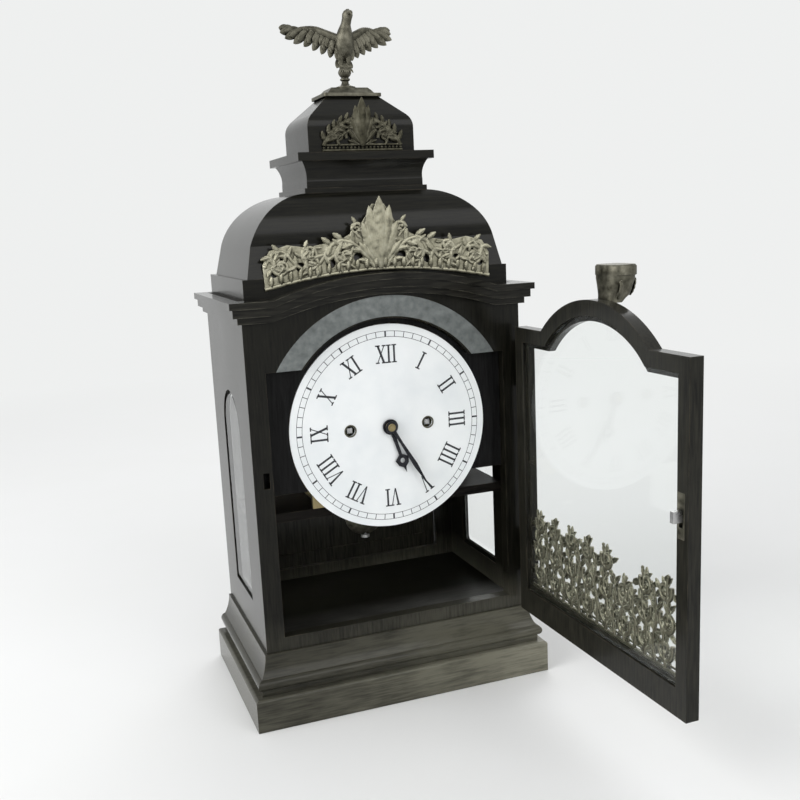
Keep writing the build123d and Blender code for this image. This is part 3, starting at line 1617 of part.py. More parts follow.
# Motion work: cannon pinion, minute wheel and hour wheel between plate and dial
cannon_radius = motion_distance * cannon_teeth / (cannon_teeth + minute_wheel_teeth)
minute_wheel_radius = motion_distance - cannon_radius
minute_pinion_radius = (
    motion_distance * minute_pinion_leaves / (minute_pinion_leaves + hour_wheel_teeth)
)
hour_wheel_radius = motion_distance - minute_pinion_radius
motion_back = plate_front - motion_gap
hour_wheel_back = motion_back - wheel_thickness - motion_gap
cannon_bore = arbor_radius + running_clearance
cannon_outer = cannon_bore + pipe_wall
hour_bore = cannon_outer + running_clearance
hour_outer = hour_bore + pipe_wall


def pipe_along(front, back, outer, bore):
    """Tube on the centre of the dial between two depths."""
    with BuildSketch(upright(back)) as ring:
        with Locations(centre_place):
            Circle(outer)
            Circle(bore, mode=Mode.SUBTRACT)
    extrude(ring.sketch, amount=back - front)


with BuildPart() as cannon_pinion:
    gear(
        centre_place, motion_back, wheel_thickness, cannon_teeth, cannon_radius, 0, cannon_bore
    )
    pipe_along(minute_hand_front, motion_back, cannon_outer, cannon_bore)
cannon_pinion.part.label = "cannon_pinion"
export_step(cannon_pinion.part, "parts/cannon_pinion.step")

with BuildPart() as minute_wheel:
    minute_phase = mesh_phase(cannon_teeth, 0, minute_wheel_teeth, -90)
    minute_bore = stud_radius + running_clearance
    crossed_wheel(
        minute_wheel_place, motion_back, minute_wheel_teeth, minute_wheel_radius,
        minute_phase, bore=minute_bore,
    )
    gear(
        minute_wheel_place, motion_back - wheel_thickness, pinion_length * 0.7,
        minute_pinion_leaves, minute_pinion_radius, 0, minute_bore,
    )
minute_wheel.part.label = "minute_wheel"
export_step(minute_wheel.part, "parts/minute_wheel.step")

with BuildPart() as hour_wheel:
    hour_phase = mesh_phase(minute_pinion_leaves, 0, hour_wheel_teeth, 90)
    crossed_wheel(
        centre_place, hour_wheel_back, hour_wheel_teeth, hour_wheel_radius,
        hour_phase, hub=hour_outer + pipe_wall, bore=hour_bore,
    )
    pipe_along(hour_hand_front, hour_wheel_back, hour_outer, hour_bore)
hour_wheel.part.label = "hour_wheel"
export_step(hour_wheel.part, "parts/hour_wheel.step")


def hand_plane(back, turn):
    """Plane on the dial's centre whose local Y points along a hand turned clockwise."""
    return upright(back, 0, dial_height).rotated((0, turn, 0))


# Hour hand: broad blade with a spade near its tip
with BuildPart() as hour_hand:
    with BuildSketch(hand_plane(hour_hand_back, hour_angle)):
        Circle(hour_outer + 2.2)
        with BuildLine():
            Polyline(
                (-1.6, 0), (-1.1, hour_hand_length * 0.60), (-3.4, hour_hand_length * 0.76),
                (0, hour_hand_length), (3.4, hour_hand_length * 0.76),
                (1.1, hour_hand_length * 0.60), (1.6, 0), close=True,
            )
        make_face()
        Circle(hour_outer, mode=Mode.SUBTRACT)
    extrude(amount=hand_thickness)
hour_hand.part.label = "hour_hand"
export_step(hour_hand.part, "parts/hour_hand.step")

# Minute hand: long slender blade
with BuildPart() as minute_hand:
    with BuildSketch(hand_plane(minute_hand_back, minute_angle)):
        Circle(cannon_outer + 1.8)
        with BuildLine():
            Polyline(
                (-1.1, 0), (-1.5, minute_hand_length * 0.45), (0, minute_hand_length),
                (1.5, minute_hand_length * 0.45), (1.1, 0), close=True,
            )
        make_face()
        Circle(cannon_outer, mode=Mode.SUBTRACT)
    extrude(amount=hand_thickness)
minute_hand.part.label = "minute_hand"
export_step(minute_hand.part, "parts/minute_hand.step")
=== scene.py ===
"""Ebonised bracket clock with a domed top, dressed for display round its solid model."""

import logging
import math
from dataclasses import dataclass, field, replace
from enum import Enum

import bmesh
import bpy
from mathutils import Matrix, Vector


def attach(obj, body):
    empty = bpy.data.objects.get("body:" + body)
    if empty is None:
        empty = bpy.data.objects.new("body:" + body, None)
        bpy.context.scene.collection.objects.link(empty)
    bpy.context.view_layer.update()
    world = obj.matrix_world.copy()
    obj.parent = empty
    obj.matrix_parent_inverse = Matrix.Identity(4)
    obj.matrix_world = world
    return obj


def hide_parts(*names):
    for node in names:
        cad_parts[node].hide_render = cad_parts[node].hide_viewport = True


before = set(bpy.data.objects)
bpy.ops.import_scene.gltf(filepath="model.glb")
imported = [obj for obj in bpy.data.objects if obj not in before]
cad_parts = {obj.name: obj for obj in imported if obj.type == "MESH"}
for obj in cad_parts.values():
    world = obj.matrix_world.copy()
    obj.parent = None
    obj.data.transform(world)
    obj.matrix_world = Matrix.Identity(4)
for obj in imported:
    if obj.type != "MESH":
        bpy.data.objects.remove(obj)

log = logging.getLogger("bracket_clock")
Point = tuple[float, float]
Triple = tuple[float, float, float]
Colour = Triple
# One millimetre in metres.
MM = 0.001
# Widest angles in degrees that still shade as a curve, on solids and on cast relief.
SOLID_SMOOTH = 32.0
RELIEF_SMOOTH = 50.0


class Grain(Enum):
    """Way that the grain of a board or a drawn surface runs, as a scale along each axis."""

    UPRIGHT = (14.0, 14.0, 1.0)
    ACROSS = (1.0, 14.0, 14.0)
    DEEP = (14.0, 1.0, 14.0)
    NONE = (1.0, 1.0, 1.0)


class Side(Enum):
    """Left or right of the clock's middle, seen from the front."""

    LEFT = -1
    RIGHT = 1


class Bench:
    """Node tree of one material, with short ways to add and join its nodes."""

    def __init__(self, name: str) -> None:
        """Starts an empty tree with one Principled shader.

        Args:
            name: name of the new material.
        """
        self.material = bpy.data.materials.new(name)
        self.material.use_nodes = True
        self.tree = self.material.node_tree
        self.tree.nodes.clear()
        self.shader = self.tree.nodes.new("ShaderNodeBsdfPrincipled")
        self.output = self.tree.nodes.new("ShaderNodeOutputMaterial")
        self.join(self.shader.outputs[0], self.output.inputs["Surface"])

    def join(self, source: bpy.types.NodeSocket, target: bpy.types.NodeSocket) -> None:
        """Links one socket to another."""
        self.tree.links.new(source, target)

    def node(self, kind: str, **values: object) -> bpy.types.Node:
        """Adds a node.

        Args:
            kind: Blender's name for the node, without "ShaderNode".
            **values: properties of the node, or numbers for its inputs by socket name.

        Returns:
            The new node.
        """
        made = self.tree.nodes.new("ShaderNode" + kind)
        for key, value in values.items():
            if hasattr(made, key):
                setattr(made, key, value)
            else:
                made.inputs[key.replace("_", " ")].default_value = value
        return made

    def place(self, stretch: Triple) -> bpy.types.NodeSocket:
        """Coordinates in metres, stretched along the grain.

        Args:
            stretch: scale along each axis.

        Returns:
            The socket that carries the coordinates.
        """
        where = self.node("TexCoord")
        mapping = self.node("Mapping", Scale=stretch)
        self.join(where.outputs["Object"], mapping.inputs["Vector"])
        return mapping.outputs[0]

    def noise(
        self, vector: bpy.types.NodeSocket, scale: float, detail: float = 4.0, rough: float = 0.55
    ) -> bpy.types.NodeSocket:
        """Grey noise.

        Args:
            vector: coordinates.
            scale: how fine it is, per metre.
            detail: how many layers it has.
            rough: how strong the fine layers are.

        Returns:
            The noise's value.
        """
        made = self.node("TexNoise", Scale=scale, Detail=detail, Roughness=rough)
        self.join(vector, made.inputs["Vector"])
        return made.outputs["Fac"]

    def ramp(
        self, value: bpy.types.NodeSocket, stops: tuple[tuple[float, Colour], ...]
    ) -> bpy.types.NodeSocket:
        """Colours along a value.

        Args:
            value: what the colours are read by.
            stops: places from 0 to 1 with their colours.

        Returns:
            The colour.
        """
        made = self.node("ValToRGB")
        band = made.color_ramp
        while len(band.elements) < len(stops):
            band.elements.new(0.5)
        for element, (at, colour) in zip(band.elements, stops):
            element.position = at
            element.color = (*colour, 1.0)
        self.join(value, made.inputs["Fac"])
        return made.outputs["Color"]

    def span(
        self, value: bpy.types.NodeSocket, low: float, high: float, start: float, end: float
    ) -> bpy.types.NodeSocket:
        """Maps a range of a value to another range.

        Args:
            value: what is mapped.
            low: where the value's range starts.
            high: where it ends.
            start: result at low.
            end: result at high.

        Returns:
            The mapped value.
        """
        made = self.node("MapRange")
        for socket, number in zip(made.inputs[1:5], (low, high, start, end)):
            socket.default_value = number
        self.join(value, made.inputs["Value"])
        return made.outputs["Result"]

    def blend(
        self,
        share: bpy.types.NodeSocket,
        first: bpy.types.NodeSocket | Colour,
        second: bpy.types.NodeSocket | Colour,
        way: str = "MIX",
    ) -> bpy.types.NodeSocket:
        """Mixes two colours.

        Args:
            share: how much of the second shows.
            first: a colour or its socket.
            second: a colour or its socket.
            way: Blender's name for the kind of mix.

        Returns:
            The mixed colour.
        """
        made = self.node("Mix", data_type="RGBA", blend_type=way)
        for socket, source in ((made.inputs[6], first), (made.inputs[7], second)):
            if isinstance(source, bpy.types.NodeSocket):
                self.join(source, socket)
            else:
                socket.default_value = (*source, 1.0)
        self.join(share, made.inputs[0])
        return made.outputs[2]

    def times(
        self, first: bpy.types.NodeSocket, second: bpy.types.NodeSocket, way: str = "MULTIPLY"
    ) -> bpy.types.NodeSocket:
        """Joins two values by a product, a sum or the greater of them.

        Args:
            first: one value.
            second: the other value.
            way: Blender's name for the operation.

        Returns:
            The result.
        """
        made = self.node("Math", operation=way)
        self.join(first, made.inputs[0])
        self.join(second, made.inputs[1])
        return made.outputs[0]

    def worn_edge(self, radius: float) -> tuple[bpy.types.NodeSocket, bpy.types.NodeSocket]:
        """Rounded normal of sharp edges and how near an edge a place is.

        Args:
            radius: width of the rounding in metres.

        Returns:
            The rounded normal, and a value from 0 on flats to 1 on edges.
        """
        soft = self.node("Bevel", samples=4, Radius=radius)
        plain = self.node("NewGeometry")
        dot = self.node("VectorMath", operation="DOT_PRODUCT")
        self.join(soft.outputs[0], dot.inputs[0])
        self.join(plain.outputs["Normal"], dot.inputs[1])
        return soft.outputs[0], self.span(dot.outputs["Value"], 1.0, 0.86, 0.0, 1.0)

    def relief(
        self,
        height: bpy.types.NodeSocket,
        strength: float,
        depth: float,
        normal: bpy.types.NodeSocket | None = None,
    ) -> None:
        """Puts a bump on the shader.

        Args:
            height: value that the bump follows.
            strength: from 0 to 1.
            depth: height of the bump in metres.
            normal: normal that the bump starts from.
        """
        bump = self.node("Bump", Strength=strength, Distance=depth)
        self.join(height, bump.inputs["Height"])
        if normal is not None:
            self.join(normal, bump.inputs["Normal"])
        self.join(bump.outputs[0], self.shader.inputs["Normal"])

    def set(self, **values: float) -> None:
        """Sets plain numbers on the shader, with underscores for spaces."""
        for key, value in values.items():
            self.shader.inputs[key.replace("_", " ")].default_value = value


@dataclass(frozen=True)
class WoodFinish:
    """Stained and polished wood with grain, blotches and worn edges, whose pale edges on the
    cornice are painted glints.

    It may be painted lighter towards one end of an axis, as painted light where light falls on its
    foot
    or front: its painted light has a strength, an axis, and a span along that axis where it starts
    and where it is complete, in metres.
    """

    name: str
    grain: Grain
    dark: Colour = (0.0022, 0.0021, 0.0014)
    light: Colour = (0.0090, 0.0086, 0.0058)
    # Edge colour where edges are rubbed: real wear on most finishes, a pale painted glint on the
    # cornice.
    edge_wear_and_glint: Colour = (0.080, 0.066, 0.044)
    painted_light_colour: Colour = (0.165, 0.158, 0.120)
    gloss: tuple[float, float] = (0.40, 0.60)
    polish: float = 0.95
    polish_rough: float = 0.17
    polish_bend: float = 1.23
    shine: float = 0.05
    grain_scale: float = 55.0
    pore_scale: float = 240.0
    blotch_scale: float = 22.0
    rub_scale: float = 90.0
    edge_width: float = 0.0007
    grain_depth: float = 0.00025
    painted_light: float = 0.0
    painted_light_axis: str = "Z"
    painted_light_span: tuple[float, float] = (0.070, 0.052)

    def make(self) -> bpy.types.Material:
        """Makes the material.

        Returns:
            The material.
        """
        bench = Bench(self.name)
        along = bench.place(self.grain.value)
        even = bench.place(Grain.NONE.value)
        grain = bench.noise(along, self.grain_scale, 8.0, 0.62)
        pores = bench.noise(along, self.pore_scale, 3.0, 0.5)
        blotch = bench.noise(even, self.blotch_scale, 3.0)
        rubs = bench.noise(even, self.rub_scale)
        normal, edge = bench.worn_edge(self.edge_width)
        body = bench.ramp(grain, ((0.36, self.dark), (0.62, self.light)))
        clouded = bench.blend(bench.span(blotch, 0.50, 0.75, 0.0, 0.45), body, self.light)
        # Rubbed edges: real wear, and on the cornice painted glints.
        rubbed = bench.times(edge, bench.span(rubs, 0.40, 0.68, 0.0, 0.8))
        skin = bench.blend(rubbed, clouded, self.edge_wear_and_glint)
        # Painted light: the wood is painted lighter towards its foot or front, where light falls
        # on it.
        if self.painted_light:
            skin = bench.blend(self.painted_light_share(bench, blotch, grain), skin, self.painted_light_colour)
        bench.join(skin, bench.shader.inputs["Base Color"])
        bench.join(
            bench.span(bench.times(grain, blotch, "ADD"), 0.7, 1.3, *self.gloss),
            bench.shader.inputs["Roughness"],
        )
        bench.relief(bench.times(grain, pores, "ADD"), 0.22, self.grain_depth, normal)
        bench.set(
            Coat_Weight=self.polish, Coat_Roughness=self.polish_rough, Coat_IOR=self.polish_bend,
            Specular_IOR_Level=self.shine,
        )
        return bench.material

    def painted_light_share(
        self, bench: Bench, blotch: bpy.types.NodeSocket, grain: bpy.types.NodeSocket
    ) -> bpy.types.NodeSocket:
        """How much painted light lightens the wood towards the clock's foot or front.

        Args:
            bench: the material's node tree.
            blotch: broad noise.
            grain: noise along the grain.

        Returns:
            A value from 0 far from there up to the strength of the finish's own painted light.
        """
        where = bench.node("TexCoord")
        apart = bench.node("SeparateXYZ")
        bench.join(where.outputs["Object"], apart.inputs[0])
        # Painted light, lighter towards the foot or front and stronger towards the right side,
        # with a patchy edge.
        low = bench.span(apart.outputs[self.painted_light_axis], *self.painted_light_span, 0.0, self.painted_light)
        right = bench.span(apart.outputs["X"], -0.06, 0.10, 0.30, 1.0)
        patch = bench.span(bench.times(blotch, grain, "ADD"), 0.80, 1.15, 0.45, 1.0)
        return bench.times(bench.times(low, right), patch)


@dataclass(frozen=True)
class CastFinish:
    """Cast or cut metal that has darkened in its hollows and is rubbed on its high places."""

    name: str
    hollow: Colour
    body: Colour
    rubbed: Colour
    gloss: tuple[float, float]
    crevice: float = 0.0025
    brushed: Grain = Grain.NONE
    bump: float = 0.00012
    mottle_scale: float = 210.0
    fine_scale: float = 900.0
    edge_width: float = 0.0004
    metal: float = 0.92

    def make(self) -> bpy.types.Material:
        """Makes the material.

        Returns:
            The material.
        """
        bench = Bench(self.name)
        even = bench.place(Grain.NONE.value)
        drawn = bench.place(self.brushed.value)
        mottle = bench.noise(even, self.mottle_scale, 6.0, 0.6)
        fine = bench.noise(drawn, self.fine_scale, 3.0, 0.6)
        normal, edge = bench.worn_edge(self.edge_width)
        skin = bench.ramp(mottle, ((0.24, self.hollow), (0.50, self.body), (0.80, self.rubbed)))
        shade = bench.node("AmbientOcclusion", samples=4, Distance=self.crevice)
        open_place = bench.span(shade.outputs["AO"], 0.35, 0.95, 0.0, 1.0)
        dirty = bench.blend(open_place, self.hollow, skin)
        bench.join(
            bench.blend(bench.span(edge, 0.0, 1.0, 0.0, 0.7), dirty, self.rubbed),
            bench.shader.inputs["Base Color"],
        )
        bench.join(bench.span(mottle, 0.3, 0.7, *self.gloss), bench.shader.inputs["Roughness"])
        bench.relief(bench.times(mottle, fine, "ADD"), 0.35, self.bump, normal)
        bench.set(Metallic=self.metal)
        return bench.material


@dataclass(frozen=True)
class EnamelFinish:
    """Fired glossy enamel, very slightly uneven in tone and surface."""

    name: str
    pale: Colour = (0.86, 0.88, 0.88)
    cool: Colour = (0.78, 0.81, 0.82)

    def make(self) -> bpy.types.Material:
        """Makes the material.

        Returns:
            The material.
        """
        bench = Bench(self.name)
        even = bench.place(Grain.NONE.value)
        cloud = bench.noise(even, 30.0, 5.0)
        ripple = bench.noise(even, 160.0, 2.0)
        bench.join(
            bench.ramp(cloud, ((0.35, self.cool), (0.60, self.pale))),
            bench.shader.inputs["Base Color"],
        )
        bench.join(bench.span(ripple, 0.3, 0.7, 0.10, 0.20), bench.shader.inputs["Roughness"])
        bench.relief(ripple, 0.06, 0.0003)
        bench.set(Coat_Weight=0.4, Coat_Roughness=0.06)
        return bench.material


@dataclass(frozen=True)
class PaintFinish:
    """Thin dark paint, ink or blackened steel."""

    name: str
    dark: Colour
    light: Colour
    gloss: tuple[float, float]
    metal: float = 0.0

    def make(self) -> bpy.types.Material:
        """Makes the material.

        Returns:
            The material.
        """
        bench = Bench(self.name)
        even = bench.place(Grain.NONE.value)
        fleck = bench.noise(even, 350.0, 5.0, 0.6)
        bench.join(
            bench.ramp(fleck, ((0.35, self.dark), (0.68, self.light))),
            bench.shader.inputs["Base Color"],
        )
        bench.join(bench.span(fleck, 0.3, 0.7, *self.gloss), bench.shader.inputs["Roughness"])
        bench.relief(fleck, 0.2, 0.00008)
        bench.set(Metallic=self.metal)
        return bench.material


@dataclass(frozen=True)
class GlassFinish:
    """Clear old glass with a faint wave, which lets lamplight through."""

    name: str
    tint: Colour = (0.96, 0.98, 0.97)
    rough: float = 0.015
    bend: float = 1.22

    def make(self) -> bpy.types.Material:
        """Makes the material.

        Returns:
            The material.
        """
        bench = Bench(self.name)
        even = bench.place(Grain.NONE.value)
        wave = bench.noise(even, 14.0, 1.0)
        bench.relief(wave, 0.05, 0.0006)
        bench.shader.inputs["Base Color"].default_value = (*self.tint, 1.0)
        bench.set(Transmission_Weight=1.0, Roughness=self.rough, IOR=self.bend)
        clear = bench.node("BsdfTransparent", Color=(*self.tint, 1.0))
        rays = bench.node("LightPath")
        mix = bench.node("MixShader")
        bench.join(rays.outputs["Is Shadow Ray"], mix.inputs[0])
        bench.join(bench.shader.outputs[0], mix.inputs[1])
        bench.join(clear.outputs[0], mix.inputs[2])
        bench.join(mix.outputs[0], bench.output.inputs["Surface"])
        return bench.material


@dataclass(frozen=True)
class FloorFinish:
    """Pale studio floor that looks white from the camera and keeps soft shadows."""

    name: str = "studio_floor"
    pale: Colour = (0.80, 0.80, 0.79)
    darker: Colour = (0.79, 0.79, 0.775)
    backdrop: Colour = (0.86, 0.87, 0.865)
    melt: tuple[float, float] = (0.6, 1.5)

    def make(self) -> bpy.types.Material:
        """Makes the material.

        Returns:
            The material.
        """
        bench = Bench(self.name)
        even = bench.place(Grain.NONE.value)
        cloud = bench.noise(even, 6.0, 3.0)
        bench.join(
            bench.ramp(cloud, ((0.3, self.darker), (0.7, self.pale))),
            bench.shader.inputs["Base Color"],
        )
        bench.set(Roughness=0.7)
        where = bench.node("NewGeometry")
        away = bench.node("VectorMath", operation="LENGTH")
        bench.join(where.outputs["Position"], away.inputs[0])
        far = bench.span(away.outputs["Value"], *self.melt, 0.0, 1.0)
        rays = bench.node("LightPath")
        seen = bench.times(
            rays.outputs["Is Camera Ray"], rays.outputs["Is Glossy Ray"], "MAXIMUM"
        )
        seen = bench.times(seen, rays.outputs["Is Transmission Ray"], "MAXIMUM")
        glow = bench.node("Emission", Color=(*self.backdrop, 1.0))
        mix = bench.node("MixShader")
        bench.join(bench.times(far, seen), mix.inputs[0])
        bench.join(bench.shader.outputs[0], mix.inputs[1])
        bench.join(glow.outputs[0], mix.inputs[2])
        bench.join(mix.outputs[0], bench.output.inputs["Surface"])
        return bench.material


class Finishes:
    """Every finish of the clock, made once and handed out by name."""

    def __init__(self) -> None:
        """Makes all the finishes."""
        made = [
            # Painted light: the uprights are painted a little lighter near their foot, where light
            # falls.
            WoodFinish("ebonised_upright", Grain.UPRIGHT, painted_light=0.35),
            WoodFinish("ebonised_across", Grain.ACROSS),
            # Painted light: the moulding and the plinth are painted pale towards the foot and the
            # right, for light caught by their upward-facing slopes; their rubbed edges are real
            # wear.
            WoodFinish("moulding_wear_and_light", Grain.ACROSS, painted_light_colour=(0.125, 0.120, 0.090), painted_light=0.9),
            WoodFinish("plinth_wear_and_light", Grain.ACROSS, painted_light_colour=(0.220, 0.212, 0.162), painted_light=1.0),
            WoodFinish("ebonised_deep", Grain.DEEP),
            # Painted highlights: the cornice's lighter grain and pale rubbed edges stand in for
            # glints on its lit arched moulding.
            WoodFinish(
                "cornice_wear_and_glints", Grain.ACROSS, light=(0.018, 0.017, 0.013), edge_wear_and_glint=(0.23, 0.22, 0.17)
            ),
            WoodFinish(
                "door_ebony", Grain.UPRIGHT, dark=(0.0045, 0.0044, 0.0034),
                light=(0.020, 0.019, 0.014),
            ),
            WoodFinish(
                "inner_wood", Grain.ACROSS, dark=(0.003, 0.003, 0.003),
                light=(0.014, 0.012, 0.010), gloss=(0.5, 0.7), polish=0.1,
            ),
            # Painted light: the case floor is painted pale towards its front, as a pool of light
            # falling there.
            WoodFinish(
                "floor_wood", Grain.ACROSS, painted_light_colour=(0.150, 0.148, 0.140), gloss=(0.5, 0.7),
                polish=0.1, painted_light=0.9, painted_light_axis="Y", painted_light_span=(-0.012, -0.046),
            ),
            WoodFinish(
                "mask_black", Grain.UPRIGHT, dark=(0.0025, 0.0025, 0.0025),
                light=(0.008, 0.008, 0.008), gloss=(0.45, 0.6), polish=0.3,
            ),
            CastFinish(
                "aged_brass", (0.075, 0.071, 0.050), (0.345, 0.330, 0.245), (0.55, 0.53, 0.42),
                (0.36, 0.58),
            ),
            CastFinish(
                "dark_brass", (0.018, 0.017, 0.011), (0.105, 0.100, 0.076), (0.225, 0.215, 0.170),
                (0.38, 0.60),
            ),
            CastFinish(
                "cupola_brass", (0.012, 0.011, 0.007), (0.068, 0.064, 0.044), (0.19, 0.18, 0.135),
                (0.38, 0.60),
            ),
            CastFinish(
                "movement_brass", (0.24, 0.19, 0.10), (0.33, 0.27, 0.14), (0.44, 0.37, 0.22),
                (0.28, 0.42), brushed=Grain.UPRIGHT, bump=0.00004,
            ),
            CastFinish(
                "bell_metal", (0.36, 0.31, 0.21), (0.50, 0.44, 0.30), (0.62, 0.56, 0.42),
                (0.20, 0.34), brushed=Grain.ACROSS, bump=0.00004,
            ),
            CastFinish(
                "bright_steel", (0.15, 0.15, 0.15), (0.48, 0.48, 0.48), (0.62, 0.62, 0.61),
                (0.22, 0.40), brushed=Grain.DEEP, bump=0.00004,
            ),
            CastFinish(
                "silvered_slip", (0.105, 0.114, 0.112), (0.165, 0.178, 0.175), (0.24, 0.255, 0.25),
                (0.34, 0.48), brushed=Grain.ACROSS, bump=0.00005,
            ),
            EnamelFinish("white_enamel"),
            PaintFinish("dial_print", (0.010, 0.011, 0.014), (0.035, 0.037, 0.044), (0.35, 0.5)),
            PaintFinish(
                "hand_black", (0.008, 0.009, 0.012), (0.03, 0.03, 0.036), (0.28, 0.42), metal=0.6
            ),
            GlassFinish("clear_glass"),
            FloorFinish(),
        ]
        self.materials = {finish.name: finish.make() for finish in made}

    def dress(self, piece: bpy.types.Object, name: str) -> None:
        """Puts one finish on the whole piece."""
        piece.data.materials.clear()
        piece.data.materials.append(self.materials[name])

    def dress_solids(self, solids: tuple[tuple[tuple[str, ...], str], ...]) -> None:
        """Puts finishes on solids that keep their shapes, and shades them smooth.

        Args:
            solids: names of the solids, each group with the finish that it gets.
        """
        for names, finish in solids:
            for name in names:
                self.dress(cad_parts[name], finish)
                Stock.soften(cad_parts[name], SOLID_SMOOTH)


class Stock:
    """Ways to make meshes from outlines, paths and sections; sizes are in millimetres."""

    @staticmethod
    def piece(name: str, mesh: bpy.types.Mesh) -> bpy.types.Object:
        """Makes an object of a mesh and links it to the scene.

        Args:
            name: name of the object.
            mesh: its mesh or curve.

        Returns:
            The object.
        """
        made = bpy.data.objects.new(name, mesh)
        bpy.context.scene.collection.objects.link(made)
        return made

    @staticmethod
    def from_curve(curve: bpy.types.Curve) -> bpy.types.Mesh:
        """Turns a curve into a mesh and removes the curve.

        Args:
            curve: the curve, which is used up.

        Returns:
            The mesh.
        """
        carrier = Stock.piece("carrier", curve)
        bpy.context.view_layer.update()
        graph = bpy.context.evaluated_depsgraph_get()
        mesh = bpy.data.meshes.new_from_object(carrier.evaluated_get(graph))
        bpy.data.objects.remove(carrier)
        bpy.data.curves.remove(curve)
        return mesh

    @staticmethod
    def plate(loops: list[list[Point]], thickness: float, bevel: float) -> bpy.types.Mesh:
        """Flat plate with rounded edges, upright in X and Z, centred on Y.

        Args:
            loops: closed outlines, the outer one and any holes.
            thickness: whole thickness.
            bevel: rounding of the edges.

        Returns:
            The mesh.
        """
        curve = bpy.data.curves.new("plate", "CURVE")
        curve.dimensions = "2D"
        curve.fill_mode = "BOTH"
        curve.extrude = max(thickness / 2 - bevel, 0.0001) * MM
        curve.bevel_depth = bevel * MM
        curve.bevel_resolution = 2
        curve.offset = -bevel * MM
        for loop in loops:
            spline = curve.splines.new("POLY")
            spline.points.add(len(loop) - 1)
            for place, (across, up) in zip(spline.points, loop):
                place.co = (across * MM, up * MM, 0.0, 1.0)
            spline.use_cyclic_u = True
        mesh = Stock.from_curve(curve)
        mesh.transform(Matrix.Rotation(math.radians(90), 4, "X"))
        return mesh

    @staticmethod
    def rod(places: list[Triple], radii: list[float], flat: float = 1.0) -> bpy.types.Mesh:
        """Smooth tapering rod through places.

        Args:
            places: points of its middle line.
            radii: radius at each point.
            flat: how much of its depth along Y it keeps.

        Returns:
            The mesh.
        """
        curve = bpy.data.curves.new("rod", "CURVE")
        curve.dimensions = "3D"
        curve.bevel_depth = MM
        curve.bevel_resolution = 3
        curve.resolution_u = 6
        curve.use_fill_caps = True
        spline = curve.splines.new("NURBS")
        spline.points.add(len(places) - 1)
        for point, place, radius in zip(spline.points, places, radii):
            point.co = (place[0] * MM, place[1] * MM, place[2] * MM, 1.0)
            point.radius = radius
        spline.order_u = min(3, len(places))
        spline.use_endpoint_u = True
        mesh = Stock.from_curve(curve)
        if flat != 1.0:
            middle = sum(place[1] for place in places) / len(places) * MM
            for vertex in mesh.vertices:
                vertex.co.y = middle + (vertex.co.y - middle) * flat
        return mesh

    @staticmethod
    def bar(half: float, depth: float, level: float, radius: float, flat: float) -> bpy.types.Mesh:
        """Level bar across the clock's middle.

        Args:
            half: half its length.
            depth: its place along Y.
            level: its height.
            radius: half its thickness.
            flat: how much of its depth along Y it keeps.

        Returns:
            The mesh.
        """
        return Stock.rod([(x, depth, level) for x in (-half, 0.0, half)], [radius] * 3, flat)

    @staticmethod
    def turned(profile: list[Point], steps: int = 48, hollow: bool = False) -> bpy.types.Mesh:
        """Turned shape about the Z axis.

        Args:
            profile: (radius, height) from foot to top, or all round a ring's section.
            steps: faces round it.
            hollow: makes a ring, whose last place joins its first.

        Returns:
            The mesh.
        """
        work = bmesh.new()
        rings = []
        for radius, height in profile:
            rings.append(
                [
                    work.verts.new(
                        (
                            radius * MM * math.cos(2 * math.pi * step / steps),
                            radius * MM * math.sin(2 * math.pi * step / steps),
                            height * MM,
                        )
                    )
                    for step in range(steps)
                ]
            )
        if hollow:
            Stock.skin(work, rings + rings[:1], ends=False)
        else:
            Stock.skin(work, rings)
        return Stock.close(work, "turned")

    @staticmethod
    def loft(rings: list[list[Vector]]) -> bpy.types.Mesh:
        """Closed shape through rings of equally many places, in millimetres.

        Args:
            rings: places of each ring, all with equally many.

        Returns:
            The mesh.
        """
        work = bmesh.new()
        made = [[work.verts.new(place * MM) for place in ring] for ring in rings]
        Stock.skin(work, made)
        return Stock.close(work, "loft")

    @staticmethod
    def skin(
        work: bmesh.types.BMesh, rings: list[list[bmesh.types.BMVert]], ends: bool = True
    ) -> None:
        """Joins rings by faces.

        Args:
            work: the working mesh.
            rings: rings of equally many places.
            ends: closes the first and the last ring.
        """
        for low, high in zip(rings, rings[1:]):
            count = len(low)
            for step in range(count):
                after = (step + 1) % count
                work.faces.new((low[step], low[after], high[after], high[step]))
        if ends:
            work.faces.new(rings[0][::-1])
            work.faces.new(rings[-1])

    @staticmethod
    def close(work: bmesh.types.BMesh, name: str) -> bpy.types.Mesh:
        """Cleans a working mesh and turns it into a mesh.

        Args:
            work: the working mesh, which is used up.
            name: name of the mesh.

        Returns:
            The mesh.
        """
        bmesh.ops.remove_doubles(work, verts=work.verts, dist=1e-6)
        bmesh.ops.recalc_face_normals(work, faces=work.faces)
        mesh = bpy.data.meshes.new(name)
        work.to_mesh(mesh)
        work.free()
        return mesh

